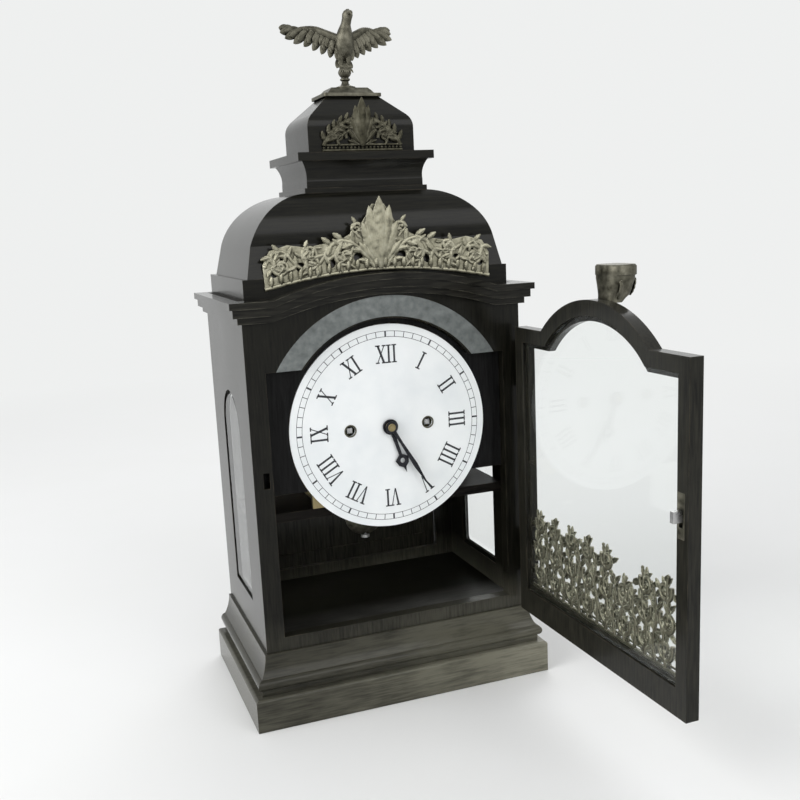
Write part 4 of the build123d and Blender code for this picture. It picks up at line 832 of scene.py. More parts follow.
    @staticmethod
    def leaf(
        length: float,
        width: float,
        lobes: int = 3,
        camber: float = 0.9,
        thick: float = 0.7,
        across: int = 6,
    ) -> bpy.types.Mesh:
        """Lobed leaf that grows along X, faces -Y and curls forward at its tip.

        Args:
            length: from root to tip.
            width: at its widest.
            lobes: how many lobes each edge has.
            camber: how far its middle stands forward.
            thick: thickness of the metal.
            across: how many faces lie across it.

        Returns:
            The mesh.
        """
        along = across + 8
        work = bmesh.new()
        front, back = [], []
        for step in range(along + 1):
            share = step / along
            swell = math.sin(math.pi * min(share * 0.96 + 0.04, 1.0)) ** 0.7
            notch = 0.78 + 0.22 * abs(math.cos(math.pi * lobes * share))
            half = width / 2 * swell * notch + 0.12
            for rows, lift in ((front, thick), (back, 0.0)):
                row = []
                for column in range(across + 1):
                    side = 2 * column / across - 1
                    vein = 0.28 * math.cos(side * math.pi * 2.5) * swell
                    rise = camber * (1 - side * side) * swell + vein * 0.5
                    curl = camber * 1.1 * share**3
                    place = Vector((share * length, -(rise + curl + lift), side * half))
                    row.append(work.verts.new(place * MM))
                rows.append(row)
        for rows in (front, back):
            for low, high in zip(rows, rows[1:]):
                for column in range(across):
                    work.faces.new((low[column], low[column + 1], high[column + 1], high[column]))
        for low, high, deep_low, deep_high in zip(front, front[1:], back, back[1:]):
            for column in (0, across):
                work.faces.new((low[column], high[column], deep_high[column], deep_low[column]))
        for row, deep in ((front[0], back[0]), (front[-1], back[-1])):
            for column in range(across):
                work.faces.new((row[column], row[column + 1], deep[column + 1], deep[column]))
        return Stock.close(work, "leaf")

    @staticmethod
    def join(name: str, meshes: list[bpy.types.Mesh], smooth: float = 40.0) -> bpy.types.Object:
        """Joins meshes in one object with smooth shading.

        Args:
            name: name of the object.
            meshes: the meshes, which are used up.
            smooth: sharpest angle that still looks round, in degrees.

        Returns:
            The object.
        """
        work = bmesh.new()
        for mesh in meshes:
            work.from_mesh(mesh)
            bpy.data.meshes.remove(mesh)
        whole = bpy.data.meshes.new(name)
        work.to_mesh(whole)
        work.free()
        made = Stock.piece(name, whole)
        Stock.soften(made, smooth)
        return made

    @staticmethod
    def soften(piece: bpy.types.Object, angle: float) -> None:
        """Shades a piece smooth below an angle in degrees."""
        piece.data.shade_smooth()
        piece.data.set_sharp_from_angle(angle=math.radians(angle))


def spiral(centre: Point, outer: float, inner: float, start: float, turns: float) -> list[Point]:
    """Places on a spiral that winds inward.

    Args:
        centre: its eye.
        outer: radius where it starts.
        inner: radius where it ends.
        start: angle where it starts, in degrees.
        turns: how far it winds; negative turns wind clockwise.

    Returns:
        The places from the outside in.
    """
    count = max(int(abs(turns) * 10), 4)
    places = []
    for step in range(count + 1):
        share = step / count
        radius = outer + (inner - outer) * share
        angle = math.radians(start) + 2 * math.pi * turns * share
        places.append(
            (centre[0] + radius * math.cos(angle), centre[1] + radius * math.sin(angle))
        )
    return places


def oval(centre: Point, across: float, up: float, steps: int) -> list[Point]:
    """Places round an oval.

    Args:
        centre: its middle.
        across: half its width.
        up: half its height.
        steps: how many places it has.

    Returns:
        The places, from its right side by way of its top.
    """
    angles = [2 * math.pi * step / steps for step in range(steps)]
    return [(centre[0] + across * math.cos(a), centre[1] + up * math.sin(a)) for a in angles]


@dataclass
class Vine:
    """Cast stem with leaves on both sides, drawn in the plane that it lies in.

    It has a path, a thickness at root and tip, a number of pairs of leaves, their length at root
    and tip, their turn from the stem in degrees, the radius of a knob at its tip, and the number
    of faces across a leaf.
    """

    path: list[Point]
    thick: tuple[float, float] = (1.4, 0.8)
    leaves: int = 6
    leaf: tuple[float, float] = (9.0, 6.0)
    spread: float = 48.0
    knob: float = 0.0
    facets: int = 6

    def place_at(self, share: float) -> tuple[Point, float]:
        """Place and heading on the path.

        Args:
            share: from 0 at its root to 1 at its tip.

        Returns:
            The place, and the heading in radians.
        """
        steps = [math.dist(a, b) for a, b in zip(self.path, self.path[1:])]
        left = share * sum(steps)
        for (first, second), step in zip(zip(self.path, self.path[1:]), steps):
            if left <= step or (first, second) == (self.path[-2], self.path[-1]):
                part = min(left / step, 1.0)
                place = (
                    first[0] + (second[0] - first[0]) * part,
                    first[1] + (second[1] - first[1]) * part,
                )
                return place, math.atan2(second[1] - first[1], second[0] - first[0])
            left -= step
        return self.path[-1], 0.0

    def meshes(self, depth: float) -> list[bpy.types.Mesh]:
        """Makes the stem, its leaves and the knob at its tip.

        Args:
            depth: place of its middle along Y.

        Returns:
            The meshes.
        """
        count = len(self.path) - 1
        radii = [
            self.thick[0] + (self.thick[1] - self.thick[0]) * step / count
            for step in range(count + 1)
        ]
        made = [Stock.rod([(x, depth, z) for x, z in self.path], radii, flat=0.75)]
        for number in range(self.leaves):
            share = (number + 0.6) / (self.leaves + 0.4)
            length = self.leaf[0] + (self.leaf[1] - self.leaf[0]) * share
            place, heading = self.place_at(share)
            for side in (-1, 1):
                mesh = Stock.leaf(length, length * 0.46, across=self.facets)
                angle = heading + side * math.radians(self.spread)
                mesh.transform(
                    Matrix.Translation(Vector((place[0], depth + 0.3, place[1])) * MM)
                    @ Matrix.Rotation(-angle, 4, "Y")
                )
                made.append(mesh)
        if self.knob:
            ball = Stock.turned(
                [
                    (self.knob * math.sin(a), -self.knob * math.cos(a))
                    for a in [math.pi * step / 8 for step in range(9)]
                ],
                16,
            )
            tip = self.path[-1]
            ball.transform(Matrix.Translation(Vector((tip[0], depth, tip[1])) * MM))
            made.append(ball)
        return made

    def mirrored(self) -> "Vine":
        """The same vine on the other side of the clock's middle."""
        return replace(self, path=[(-x, z) for x, z in self.path])


@dataclass(frozen=True)
class DoorPlace:
    """Where the open front door stands; its pieces are made in their closed places."""

    hinge: Point = (90.0, -61.3)
    turn: float = 91.0

    def open(self, mesh: bpy.types.Mesh) -> bpy.types.Mesh:
        """Turns a mesh from its closed place to its open place.

        Args:
            mesh: a mesh in its closed place.

        Returns:
            The same mesh in its open place.
        """
        pin = Vector((self.hinge[0], self.hinge[1], 0.0)) * MM
        mesh.transform(
            Matrix.Translation(pin)
            @ Matrix.Rotation(math.radians(self.turn), 4, "Z")
            @ Matrix.Translation(-pin)
        )
        return mesh


@dataclass
class Case:
    """Carcase of ebonised wood, whose solids keep their shapes, and its bevelled side panes."""

    upright: tuple[str, ...] = ("side_panel_left", "side_panel_right", "front_frame", "back_frame")
    across: tuple[str, ...] = ("dome_plinth", "lower_dome", "cupola_moulding", "cupola")
    deep: tuple[str, ...] = ("side_cornices",)
    inner: tuple[str, ...] = ("bottom_board", "top_board", "seat_board")
    window_half: float = 25.0
    window_middle: float = 5.0
    window_sill: float = 70.0
    window_spring: float = 180.0
    arch_steps: int = 32
    pane_steps: tuple[Point, ...] = (
        (83.2, 2.7), (85.0, 2.7), (85.0, -0.4), (87.8, -0.4), (89.4, -3.0),
    )

    def dress(self, finishes: Finishes) -> None:
        """Puts the finishes on the carcase, the dial's mask and the slip over the dial.

        Args:
            finishes: the clock's finishes.
        """
        finishes.dress_solids(
            (
                (self.upright, "ebonised_upright"),
                (self.across, "ebonised_across"),
                (self.deep, "ebonised_deep"),
                (self.inner, "inner_wood"),
                (("plinth_frame",), "plinth_wear_and_light"),
                (("base_moulding",), "moulding_wear_and_light"),
                (("front_cornice",), "cornice_wear_and_glints"),
                (("case_floor",), "floor_wood"),
                (("dial_mask",), "mask_black"),
                (("arch_slip",), "silvered_slip"),
                (("finial_cap", "front_hinge_posts"), "dark_brass"),
            )
        )
        log.info("case: boards, mouldings, mask and slip")

    def pane_ring(self, side: Side, out: float, grow: float) -> list[Vector]:
        """Arched outline of a side window.

        Args:
            side: which side of the case.
            out: how far from the clock's middle it lies.
            grow: how much wider than the opening it is.

        Returns:
            The outline's places.
        """
        half = self.window_half + grow
        outline = [(half, self.window_sill - grow), (-half, self.window_sill - grow)]
        for step in range(self.arch_steps + 1):
            angle = math.pi * (1 - step / self.arch_steps)
            outline.append((half * math.cos(angle), self.window_spring + half * math.sin(angle)))
        return [Vector((side.value * out, self.window_middle + y, z)) for y, z in outline]

    def side_panes(self, finishes: Finishes) -> None:
        """Bevelled plate glasses in the rebates of both side windows.

        Args:
            finishes: the clock's finishes.
        """
        panes = [
            Stock.loft([self.pane_ring(side, out, grow) for out, grow in self.pane_steps])
            for side in Side
        ]
        piece = Stock.join("bevelled_panes", panes, 20.0)
        finishes.dress(piece, "clear_glass")
        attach(piece, "case")
        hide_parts("side_glasses")
        log.info("side panes: %d faces", len(piece.data.polygons))


@dataclass
class Eagle:
    """Cast brass eagle with spread wings, on its stem on the cap of the cupola."""

    foot: float = 391.0
    middle: float = 5.0
    feathers: int = 9
    arm_reach: float = 38.5
    left_reach: float = 41.0
    right_reach: float = 34.0
    tail_feathers: int = 5
    ring_steps: int = 20

    def feather(self, length: float, width: float) -> bpy.types.Mesh:
        """One long narrow feather along X with a raised quill."""
        return Stock.leaf(length, width, lobes=1, camber=0.5, thick=0.55)

    def body(self) -> list[bpy.types.Mesh]:
        """Body, neck, head and beak, through rings along the bird's back.

        Returns:
            The meshes.
        """
        spine = [
            (Vector((-1.5, 9.5, 406.5)), 1.0), (Vector((-0.8, 7.5, 409.5)), 3.4),
            (Vector((0.0, 5.2, 413.5)), 5.4), (Vector((0.4, 3.6, 418.0)), 6.3),
            (Vector((0.6, 2.8, 422.5)), 5.6), (Vector((1.1, 2.8, 426.5)), 4.1),
            (Vector((1.7, 2.6, 429.8)), 3.1), (Vector((2.2, 1.8, 432.6)), 3.2),
            (Vector((2.5, 0.6, 435.2)), 3.4), (Vector((2.6, 0.0, 437.2)), 2.4),
            (Vector((2.6, -0.2, 438.5)), 0.7),
        ]
        rings = []
        for number, (centre, radius) in enumerate(spine):
            before = spine[max(number - 1, 0)][0]
            after = spine[min(number + 1, len(spine) - 1)][0]
            heading = (after - before).normalized()
            right = heading.cross(Vector((0, 1, 0))).normalized()
            front = heading.cross(right)
            ring = []
            for step in range(self.ring_steps):
                angle = 2 * math.pi * step / self.ring_steps
                scale = 1 + 0.05 * math.cos(4 * angle + number * 1.5)
                ring.append(
                    centre
                    + (right * math.cos(angle) + front * math.sin(angle)) * radius * scale
                )
            rings.append(ring)
        beak = Stock.rod(
            [(2.5, -2.0, 435.8), (2.7, -5.0, 436.0), (2.8, -6.8, 434.8), (2.8, -7.0, 433.0)],
            [1.8, 1.2, 0.8, 0.2],
        )
        return [Stock.loft(rings), beak]

    def wing(self, side: Side) -> list[bpy.types.Mesh]:
        """One wing: arm, long feathers in a fan and two rows of short ones over their roots.

        Args:
            side: which wing.

        Returns:
            The meshes.
        """
        made = []
        sign = side.value
        reach = self.left_reach if side is Side.LEFT else self.right_reach
        bend = reach / self.arm_reach
        arm = [
            Vector((0.5, 4.5, 419.5)), Vector((sign * 9.0 * bend, 5.5, 423.5)),
            Vector((sign * 19.0 * bend, 8.5, 428.5)), Vector((sign * 28.0 * bend, 12.0, 427.5)),
        ]
        made.append(Stock.rod([tuple(place) for place in arm], [3.4, 2.8, 2.2, 1.0]))
        rows = (
            (self.feathers, 0.0, 1.0, 6.2),
            (self.feathers, -1.0, 0.66, 5.0),
            (self.feathers + 1, -1.8, 0.40, 4.2),
        )
        for count, forward, share, width in rows:
            for number in range(count):
                part = number / (count - 1)
                root = arm[0].lerp(arm[-1], 0.10 + 0.90 * part)
                root.z += math.sin(math.pi * part) * 2.5
                droop = math.radians(-78 + 80 * part**1.25)
                length = (12.5 + 3.5 * part) * (1.1 if part > 0.6 else 1.0)
                room = reach - abs(root.x)
                length = min(length, room / max(math.cos(droop), 0.2)) * (0.35 + 0.65 * share)
                mesh = self.feather(max(length, 4.0), width)
                turn = droop if sign > 0 else math.pi - droop
                mesh.transform(
                    Matrix.Translation((root + Vector((0, forward * 0.6, 0))) * MM)
                    @ Matrix.Rotation(math.radians(-sign * 16), 4, "Z")
                    @ Matrix.Rotation(-turn, 4, "Y")
                )
                made.append(mesh)
        return made

    def tail(self) -> list[bpy.types.Mesh]:
        """Fan of tail feathers behind the feet.

        Returns:
            The meshes.
        """
        made = []
        for number in range(self.tail_feathers):
            mesh = self.feather(12.0, 5.0)
            turn = math.radians(-90 + (number - self.tail_feathers // 2) * 13)
            mesh.transform(
                Matrix.Translation(Vector((-0.5, 8.0, 413.0)) * MM)
                @ Matrix.Rotation(math.radians(-25), 4, "X")
                @ Matrix.Rotation(-turn, 4, "Y")
            )
            made.append(mesh)
        return made

    def stand(self) -> list[bpy.types.Mesh]:
        """Turned stem with a ball, and two legs with claws on it.

        Returns:
            The meshes.
        """
        stem = Stock.turned(
            [
                (6.4, 0.0), (6.4, 1.2), (4.6, 1.8), (2.6, 3.0), (2.1, 4.6),
                (3.2, 5.4), (3.2, 6.2), (2.2, 6.8), (3.4, 8.0), (4.2, 9.6),
                (4.2, 10.6), (3.4, 12.2), (2.0, 13.4), (0.4, 14.0),
            ],
            32,
        )
        stem.transform(Matrix.Translation(Vector((0, self.middle, self.foot)) * MM))
        made = [stem]
        for side in Side:
            x = side.value * 2.6
            leg = [(x * 0.9, 4.6, 412.0), (x, 4.0, 408.0), (x * 0.9, 4.4, 404.0), (x, 3.4, 402.0)]
            made.append(Stock.rod(leg, [2.6, 1.9, 1.2, 1.0]))
            for spread in (-1.6, 0.0, 1.6):
                claw = [(x, 4.2, 403.5), (x + spread * 0.6, 1.6, 403.2), (x + spread, 0.6, 400.5)]
                made.append(Stock.rod(claw, [0.9, 0.8, 0.3]))
        return made

    def build(self, finishes: Finishes) -> None:
        """Makes the eagle in the place of its plain solid.

        Args:
            finishes: the clock's finishes.
        """
        parts = self.stand() + self.body() + self.tail()
        for side in Side:
            parts += self.wing(side)
        piece = Stock.join("eagle", parts, RELIEF_SMOOTH)
        finishes.dress(piece, "dark_brass")
        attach(piece, "case")
        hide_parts("eagle_finial")
        log.info("eagle: %d faces", len(piece.data.polygons))


@dataclass
class TopMounts:
    """Pierced cast mounts on the front of the dome and of the cupola."""

    crest_depth: float = -46.0
    ground_depth: float = -45.6
    mount_depth: float = -23.4
    crest_half: float = 73.0
    crest_middle: float = 278.4
    crest_fall: float = 8.6
    fall_half: float = 74.0
    bead_level: float = 352.8
    mount_half: float = 26.0
    hole_steps: int = 16
    beads: int = 21
    bead_gap: float = 2.5

    def crest_foot(self, across: float) -> float:
        """Height of the crest's foot over the arched cornice."""
        return self.crest_middle - self.crest_fall * (across / self.fall_half) ** 2

    def crest_plate(self) -> bpy.types.Mesh:
        """Pierced ground that joins the leaves of the crest.

        Returns:
            The mesh.
        """
        right = [
            (73.0, 272.0), (73.5, 285.0), (69.0, 293.0), (58.0, 296.0), (46.0, 294.0),
            (34.0, 296.0), (24.0, 298.0), (14.0, 303.0), (8.0, 311.0), (4.0, 318.0),
        ]
        foot = [(x, self.crest_foot(x)) for x in range(-72, 73, 8)]
        holes = []
        for x, z, radius in (
            (14.0, 286.5, 3.0), (24.0, 292.0, 2.4), (31.5, 284.0, 3.0), (41.0, 288.5, 2.2),
            (50.5, 282.5, 2.8), (60.5, 288.0, 2.4), (67.0, 279.5, 2.2), (8.0, 302.0, 2.0),
        ):
            for side in Side:
                holes.append(oval((side.value * x, z), radius, radius, self.hole_steps))
        return Stock.plate([right + [(-x, z) for x, z in right[::-1]] + foot] + holes, 1.0, 0.3)

    def fan(self, foot: Point, depth: float, leaves: tuple[Point, ...]) -> list[bpy.types.Mesh]:
        """Leaves that spread upward from one place, the outer ones behind.

        Args:
            foot: place that they spread from.
            depth: where the front leaf lies along Y.
            leaves: turn from upright in degrees and length of each pair.

        Returns:
            The meshes.
        """
        made = []
        for number, (turn, length) in enumerate(leaves):
            for side in Side if turn else (Side.RIGHT,):
                mesh = Stock.leaf(length, length * 0.22 + 1.8, lobes=5, camber=1.5)
                mesh.transform(
                    Matrix.Translation(Vector((foot[0], depth + 0.55 * number, foot[1])) * MM)
                    @ Matrix.Rotation(-math.radians(90 - side.value * turn), 4, "Y")
                )
                made.append(mesh)
        return made

    def crest(self, finishes: Finishes) -> None:
        """Crest over the arched head: foot bar, rolling leaf scrolls and a tall palmette.

        Args:
            finishes: the clock's finishes.
        """
        places = [self.crest_half * (step / 10 - 1) for step in range(21)]
        foot_bar = [(x, self.crest_depth, self.crest_foot(x) + 0.6) for x in places]
        parts = [Stock.rod(foot_bar, [1.4] * len(places), 0.8)]
        ground = self.crest_plate()
        ground.transform(Matrix.Translation(Vector((0, self.ground_depth, 0)) * MM))
        parts.append(ground)
        vines = [
            Vine(
                [(4, 280), (11, 291), (22, 298), (32, 295), (38, 284), (46, 279.5), (54, 284),
                 (60, 293), (68, 292), (72, 284)],
                (1.7, 0.9), 12, (8.5, 5.5), 50, 1.2,
            ),
            Vine(spiral((22.5, 287.5), 7.5, 1.3, 100, -1.5), (1.5, 0.9), 6, (7.0, 4.0), 52, 1.5),
            Vine(spiral((44.0, 289.5), 6.5, 1.2, 260, 1.5), (1.4, 0.8), 6, (6.5, 4.0), 52, 1.4),
            Vine(spiral((62.5, 283.5), 6.5, 1.2, 80, -1.5), (1.4, 0.8), 6, (6.5, 4.0), 52, 1.4),
            Vine(
                [(3, 290), (8, 301), (13, 307)] + spiral((14.5, 303.5), 3.6, 0.9, 120, -1.2),
                (1.3, 0.7), 4, (6.5, 4.0), 46, 1.1,
            ),
        ]
        for vine in vines:
            parts += vine.meshes(self.crest_depth) + vine.mirrored().meshes(self.crest_depth)
        for x in range(-69, 70, 6):
            parts += self.fan((x, self.crest_foot(x) + 0.8), self.crest_depth, ((0.0, 6.5),))
        parts += self.fan(
            (0.0, 279.5), self.crest_depth - 0.8,
            ((0.0, 43.0), (10.0, 38.0), (22.0, 30.0), (40.0, 21.0), (66.0, 15.0)),
        )
        piece = Stock.join("crest_relief", parts, RELIEF_SMOOTH)
        finishes.dress(piece, "aged_brass")
        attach(piece, "case")
        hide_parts("dome_crest")
        log.info("crest: %d faces", len(piece.data.polygons))

    def mount(self, finishes: Finishes) -> None:
        """Mount on the cupola: beaded band, middle palmette and raking scrolls.

        Args:
            finishes: the clock's finishes.
        """
        depth = self.mount_depth
        parts = []
        for level, radius in ((351.2, 1.0), (354.4, 0.8)):
            parts.append(Stock.bar(self.mount_half, depth, level, radius, 0.8))
        bead = [(0.05, -0.9), (0.7, -0.55), (0.95, 0.0), (0.7, 0.55), (0.05, 0.9)]
        for number in range(self.beads):
            across = self.bead_gap * (number - self.beads // 2)
            ball = Stock.turned(bead, 10)
            ball.transform(Matrix.Translation(Vector((across, depth, self.bead_level)) * MM))
            parts.append(ball)
        rake = Vine(
            [(25, 354), (22, 360), (15, 366), (8, 369.5)] + spiral((5.5, 367), 3.0, 0.9, 60, 1.1),
            (1.5, 0.7), 8, (7.0, 4.5), 46, 0.9,
        )
        curl = Vine(spiral((15.0, 360.0), 5.0, 1.1, 200, -1.4), (1.3, 0.8), 5, (5.5, 3.5), 52, 1.2)
        for vine in (rake, curl):
            parts += vine.meshes(depth) + vine.mirrored().meshes(depth)
        parts += self.fan(
            (0.0, 353.5), depth - 0.6,
            ((0.0, 29.0), (10.0, 24.5), (23.0, 18.5), (42.0, 13.5), (68.0, 10.0)),
        )
        piece = Stock.join("cupola_relief", parts, RELIEF_SMOOTH)
        finishes.dress(piece, "cupola_brass")
        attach(piece, "case")
        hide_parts("cupola_mount")
        log.info("cupola mount: %d faces", len(piece.data.polygons))


@dataclass
class FrontDoor:
    """Open front door with its glass, hinges, lock, fret and cresting."""

    place: DoorPlace = field(default_factory=DoorPlace)
    fret_depth: float = -57.6
    foot: float = 68.0
    half: float = 76.0
    columns: int = 8
    fret_facets: int = 4
    dip_place: float = -30.0
    dip_half: float = 20.0
    low_top: float = 39.0
    dip: float = 14.0
    block_steps: int = 32
    block_round: float = 0.6
    scroll_depth: float = -67.0
    leaf_foot: Point = (-76.0, 261.5)
    leaf_lean: float = 9.0

    def dress(self, finishes: Finishes) -> None:
        """Puts the finishes on the door's own solids.

        Args:
            finishes: the clock's finishes.
        """
        finishes.dress_solids(
            (
                (("front_door",), "door_ebony"),
                (("front_door_glass",), "clear_glass"),
                (("front_hinge_leaves", "door_lock"), "dark_brass"),
                (("lock_bolt",), "bright_steel"),
            )
        )
        log.info("front door: frame, glass, hinges and lock")

    def fret_top(self, across: float) -> float:
        """Height of the fret over its foot at a place across the door."""
        return self.low_top + self.dip * min(abs(across - self.dip_place) / self.dip_half, 1.0)

    def fret(self, finishes: Finishes) -> None:
        """Fret of scrolling leaves across the foot of the door's opening.

        Args:
            finishes: the clock's finishes.
        """
        depth = self.fret_depth
        parts = []
        for level, radius in ((self.foot + 1.2, 1.2), (self.foot + 4.4, 0.7)):
            parts.append(Stock.bar(self.half, depth, level, radius, 0.6))
        for column in range(self.columns):
            across = -self.half + 2 * self.half * (column + 0.5) / self.columns
            sign = 1 if column % 2 else -1
            top = self.foot + self.fret_top(across)
            for row, level in enumerate((self.foot + 12.0, self.foot + 28.0, top - 8.5)):
                wide = 7.6 if row < 2 else 6.2
                way = sign if row % 2 else -sign
                scroll = Vine(
                    spiral((across + way * 1.2, level), wide, 1.7, 90 + way * 60, way * 1.35),
                    (1.6, 1.0), 6, (9.5, 5.0), 58, 1.7, self.fret_facets,
                )
                parts += scroll.meshes(depth)
            stem = Vine(
                [(across, self.foot + 2), (across - sign * 4, self.foot + 18),
                 (across + sign * 3, self.foot + 30), (across, top - 5), (across + sign * 2, top)],
                (1.4, 0.8), 7, (8.5, 6.0), 44, 1.0, self.fret_facets,
            )
            parts += stem.meshes(depth + 0.3)
            if column:
                joint = across - self.half / self.columns
                high = self.foot + self.fret_top(joint)
                between = Vine(
                    [(joint, self.foot + 2), (joint + sign * 3, self.foot + 14),
                     (joint - sign * 3, self.foot + 27), (joint + sign, high - 9)],
                    (1.3, 0.8), 6, (9.0, 6.5), 52, 1.1, self.fret_facets,
                )
                parts += between.meshes(depth + 0.5)
        placed = [self.place.open(mesh) for mesh in parts]
        piece = Stock.join("fret_relief", placed, RELIEF_SMOOTH)
        finishes.dress(piece, "aged_brass")
        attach(piece, "front_door")
        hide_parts("door_fret")
        log.info("door fret: %d faces", len(piece.data.polygons))

    def cresting(self, finishes: Finishes) -> None:
        """Cartouche on the crown of the door: flaring block with leaves and a rolled lip.

        Args:
            finishes: the clock's finishes.
        """
        sections = (
            (258.0, 8.0, -66.2, 4.8), (260.4, 7.6, -67.8, 6.3), (262.0, 8.0, -69.0, 7.4),
            (265.0, 9.0, -69.6, 8.0), (268.5, 10.2, -69.8, 8.2), (271.0, 11.2, -70.0, 8.4),
            (272.5, 11.2, -70.0, 8.4), (273.0, 12.0, -70.3, 8.8), (277.6, 12.0, -70.3, 8.8),
            (278.6, 11.2, -70.3, 8.1),
        )
        rings = []
        for level, half, centre, deep in sections:
            ring = []
            for c, s in oval((0.0, 0.0), 1.0, 1.0, self.block_steps):
                x = math.copysign(abs(c) ** self.block_round, c) * half
                y = math.copysign(abs(s) ** self.block_round, s) * deep
                ring.append(Vector((x, centre + y, level)))
            rings.append(ring)
        parts = [Stock.loft(rings)]
        for across, turn, length in ((0.0, 90, 11.0), (-4.2, 104, 10.0), (4.2, 76, 10.0)):
            leaf = Stock.leaf(length, length * 0.56, lobes=4, camber=0.8)
            leaf.transform(
                Matrix.Translation(Vector((across, *self.leaf_foot)) * MM)
                @ Matrix.Rotation(math.radians(self.leaf_lean), 4, "X")
                @ Matrix.Rotation(-math.radians(turn), 4, "Y")
            )
            parts.append(leaf)
        scroll = [(6.5, 260.0), (9.5, 263.0)] + spiral((7.6, 267.6), 3.4, 0.9, -40, 1.3)
        radii = [1.3 - 0.6 * number / len(scroll) for number in range(len(scroll))]
        for side in Side:
            places = [(x * side.value, self.scroll_depth, z) for x, z in scroll]
            parts.append(Stock.rod(places, radii))
        placed = [self.place.open(mesh) for mesh in parts]
        piece = Stock.join("cresting_relief", placed, RELIEF_SMOOTH)
        finishes.dress(piece, "dark_brass")
        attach(piece, "front_door")
        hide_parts("door_cresting")
        log.info("door cresting: %d faces", len(piece.data.polygons))


@dataclass
class Dial:
    """Enamel dial with its printed chapter ring, winding hole rims and hands.

    Sizes are in millimetres, and the hands are turned clockwise in degrees from twelve.
    """

    centre: float = 180.0
    face: float = -48.0
    numeral_foot: float = 40.5
    numeral_height: float = 11.5
    numeral_width: float = 0.92
    widest_numeral: float = 1.72
    print_lift: float = 0.04
    mark_foot: float = 57.2
    mark_top: float = 60.4
    rings: tuple[Point, ...] = ((56.9, 57.2), (60.4, 60.7))
    ring_steps: int = 144
    winding_half: float = 26.0
    hour_turn: float = 162.5
    minute_turn: float = 150.0
    hour_back: float = -49.2
    minute_back: float = -51.4
    hour_hub: float = 3.4
    minute_hub: float = 2.4
    hand_thick: float = 1.0

    def glyph(self, letter: str) -> tuple[float, list[list[Point]]]:
        """Strokes of one Roman letter, one unit high, and the width that it takes.

        Args:
            letter: I, V or X.

        Returns:
            The width that it takes, and the outlines of its strokes.
        """
        serif = 0.07
        if letter == "I":
            return 0.34, [
                [(0.11, 0), (0.23, 0), (0.23, 1), (0.11, 1)],
                [(0.02, 0), (0.32, 0), (0.32, serif), (0.02, serif)],
                [(0.02, 1 - serif), (0.32, 1 - serif), (0.32, 1), (0.02, 1)],
            ]
        if letter == "V":
            return 0.66, [
                [(0.08, 1), (0.22, 1), (0.38, 0), (0.30, 0)],
                [(0.54, 1), (0.60, 1), (0.37, 0), (0.32, 0)],
                [(0.00, 1 - serif), (0.30, 1 - serif), (0.30, 1), (0.00, 1)],
                [(0.44, 1 - serif), (0.68, 1 - serif), (0.68, 1), (0.44, 1)],
            ]
        return 0.66, [
            [(0.08, 1), (0.22, 1), (0.60, 0), (0.46, 0)],
            [(0.54, 1), (0.60, 1), (0.14, 0), (0.08, 0)],
            [(0.00, 1 - serif), (0.30, 1 - serif), (0.30, 1), (0.00, 1)],
            [(0.42, 1 - serif), (0.66, 1 - serif), (0.66, 1), (0.42, 1)],
            [(0.00, 0), (0.24, 0), (0.24, serif), (0.00, serif)],
            [(0.38, 0), (0.68, 0), (0.68, serif), (0.38, serif)],
        ]

    def turned(self, place: Point, turn: float) -> Point:
        """A place on the dial after a clockwise turn in degrees about its centre.

        Args:
            place: place from the centre, across and up.
            turn: degrees, clockwise.

        Returns:
            The place on the clock's front, across and up.
        """
        a = math.radians(turn)
        x, z = place
        return (x * math.cos(a) + z * math.sin(a), self.centre - x * math.sin(a) + z * math.cos(a))

    def numerals(self) -> list[list[Point]]:
        """Outlines of the twelve numerals, feet towards the centre.

        Returns:
            The outlines.
        """
        names = ("XII", "I", "II", "III", "IIII", "V", "VI", "VII", "VIII", "IX", "X", "XI")
        loops = []
        for hour, name in enumerate(names):
            letters = [self.glyph(letter) for letter in name]
            width = sum(wide for wide, _ in letters)
            squeeze = min(1.0, self.widest_numeral / width)
            start = -width / 2
            for wide, strokes in letters:
                for stroke in strokes:
                    upright = [
                        (
                            (start + x) * squeeze * self.numeral_height * self.numeral_width,
                            self.numeral_foot + z * self.numeral_height,
                        )
                        for x, z in stroke
                    ]
                    loops.append([self.turned(place, 30.0 * hour) for place in upright])
                start += wide
        return loops

    def track(self) -> list[list[Point]]:
        """Outlines of the sixty marks of the minute track.

        Returns:
            The outlines.
        """
        loops = []
        for minute in range(60):
            half = 0.55 if minute % 5 == 0 else 0.22
            low, high = self.mark_foot, self.mark_top
            mark = ((-half, low), (half, low), (half, high), (-half, high))
            loops.append([self.turned(place, 6.0 * minute) for place in mark])
        return loops

    def ring(self, inner: float, outer: float) -> bpy.types.Mesh:
        """Thin printed ring about the dial's centre.

        Args:
            inner: its inner radius.
            outer: its outer radius.

        Returns:
            The mesh.
        """
        work = bmesh.new()
        depth = self.face - self.print_lift
        rows = []
        for radius in (inner, outer):
            places = oval((0.0, 0.0), radius, radius, self.ring_steps)
            rows.append(
                [work.verts.new(Vector((x, depth, self.centre + z)) * MM) for z, x in places]
            )
        Stock.skin(work, rows, ends=False)
        return Stock.close(work, "ring")

    def print_face(self, finishes: Finishes) -> None:
        """Numerals, minute track and rings, laid on the enamel.

        Args:
            finishes: the clock's finishes.
        """
        work = bmesh.new()
        depth = self.face - self.print_lift
        for loop in self.numerals() + self.track():
            work.faces.new([work.verts.new(Vector((x, depth, z)) * MM) for x, z in loop])
        mesh = bpy.data.meshes.new("print")
        work.to_mesh(mesh)
        work.free()
        rings = [self.ring(inner, outer) for inner, outer in self.rings]
        piece = Stock.join("chapter_print", [mesh] + rings)
        finishes.dress(piece, "dial_print")
        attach(piece, "case")
        log.info("chapter print: %d faces", len(piece.data.polygons))

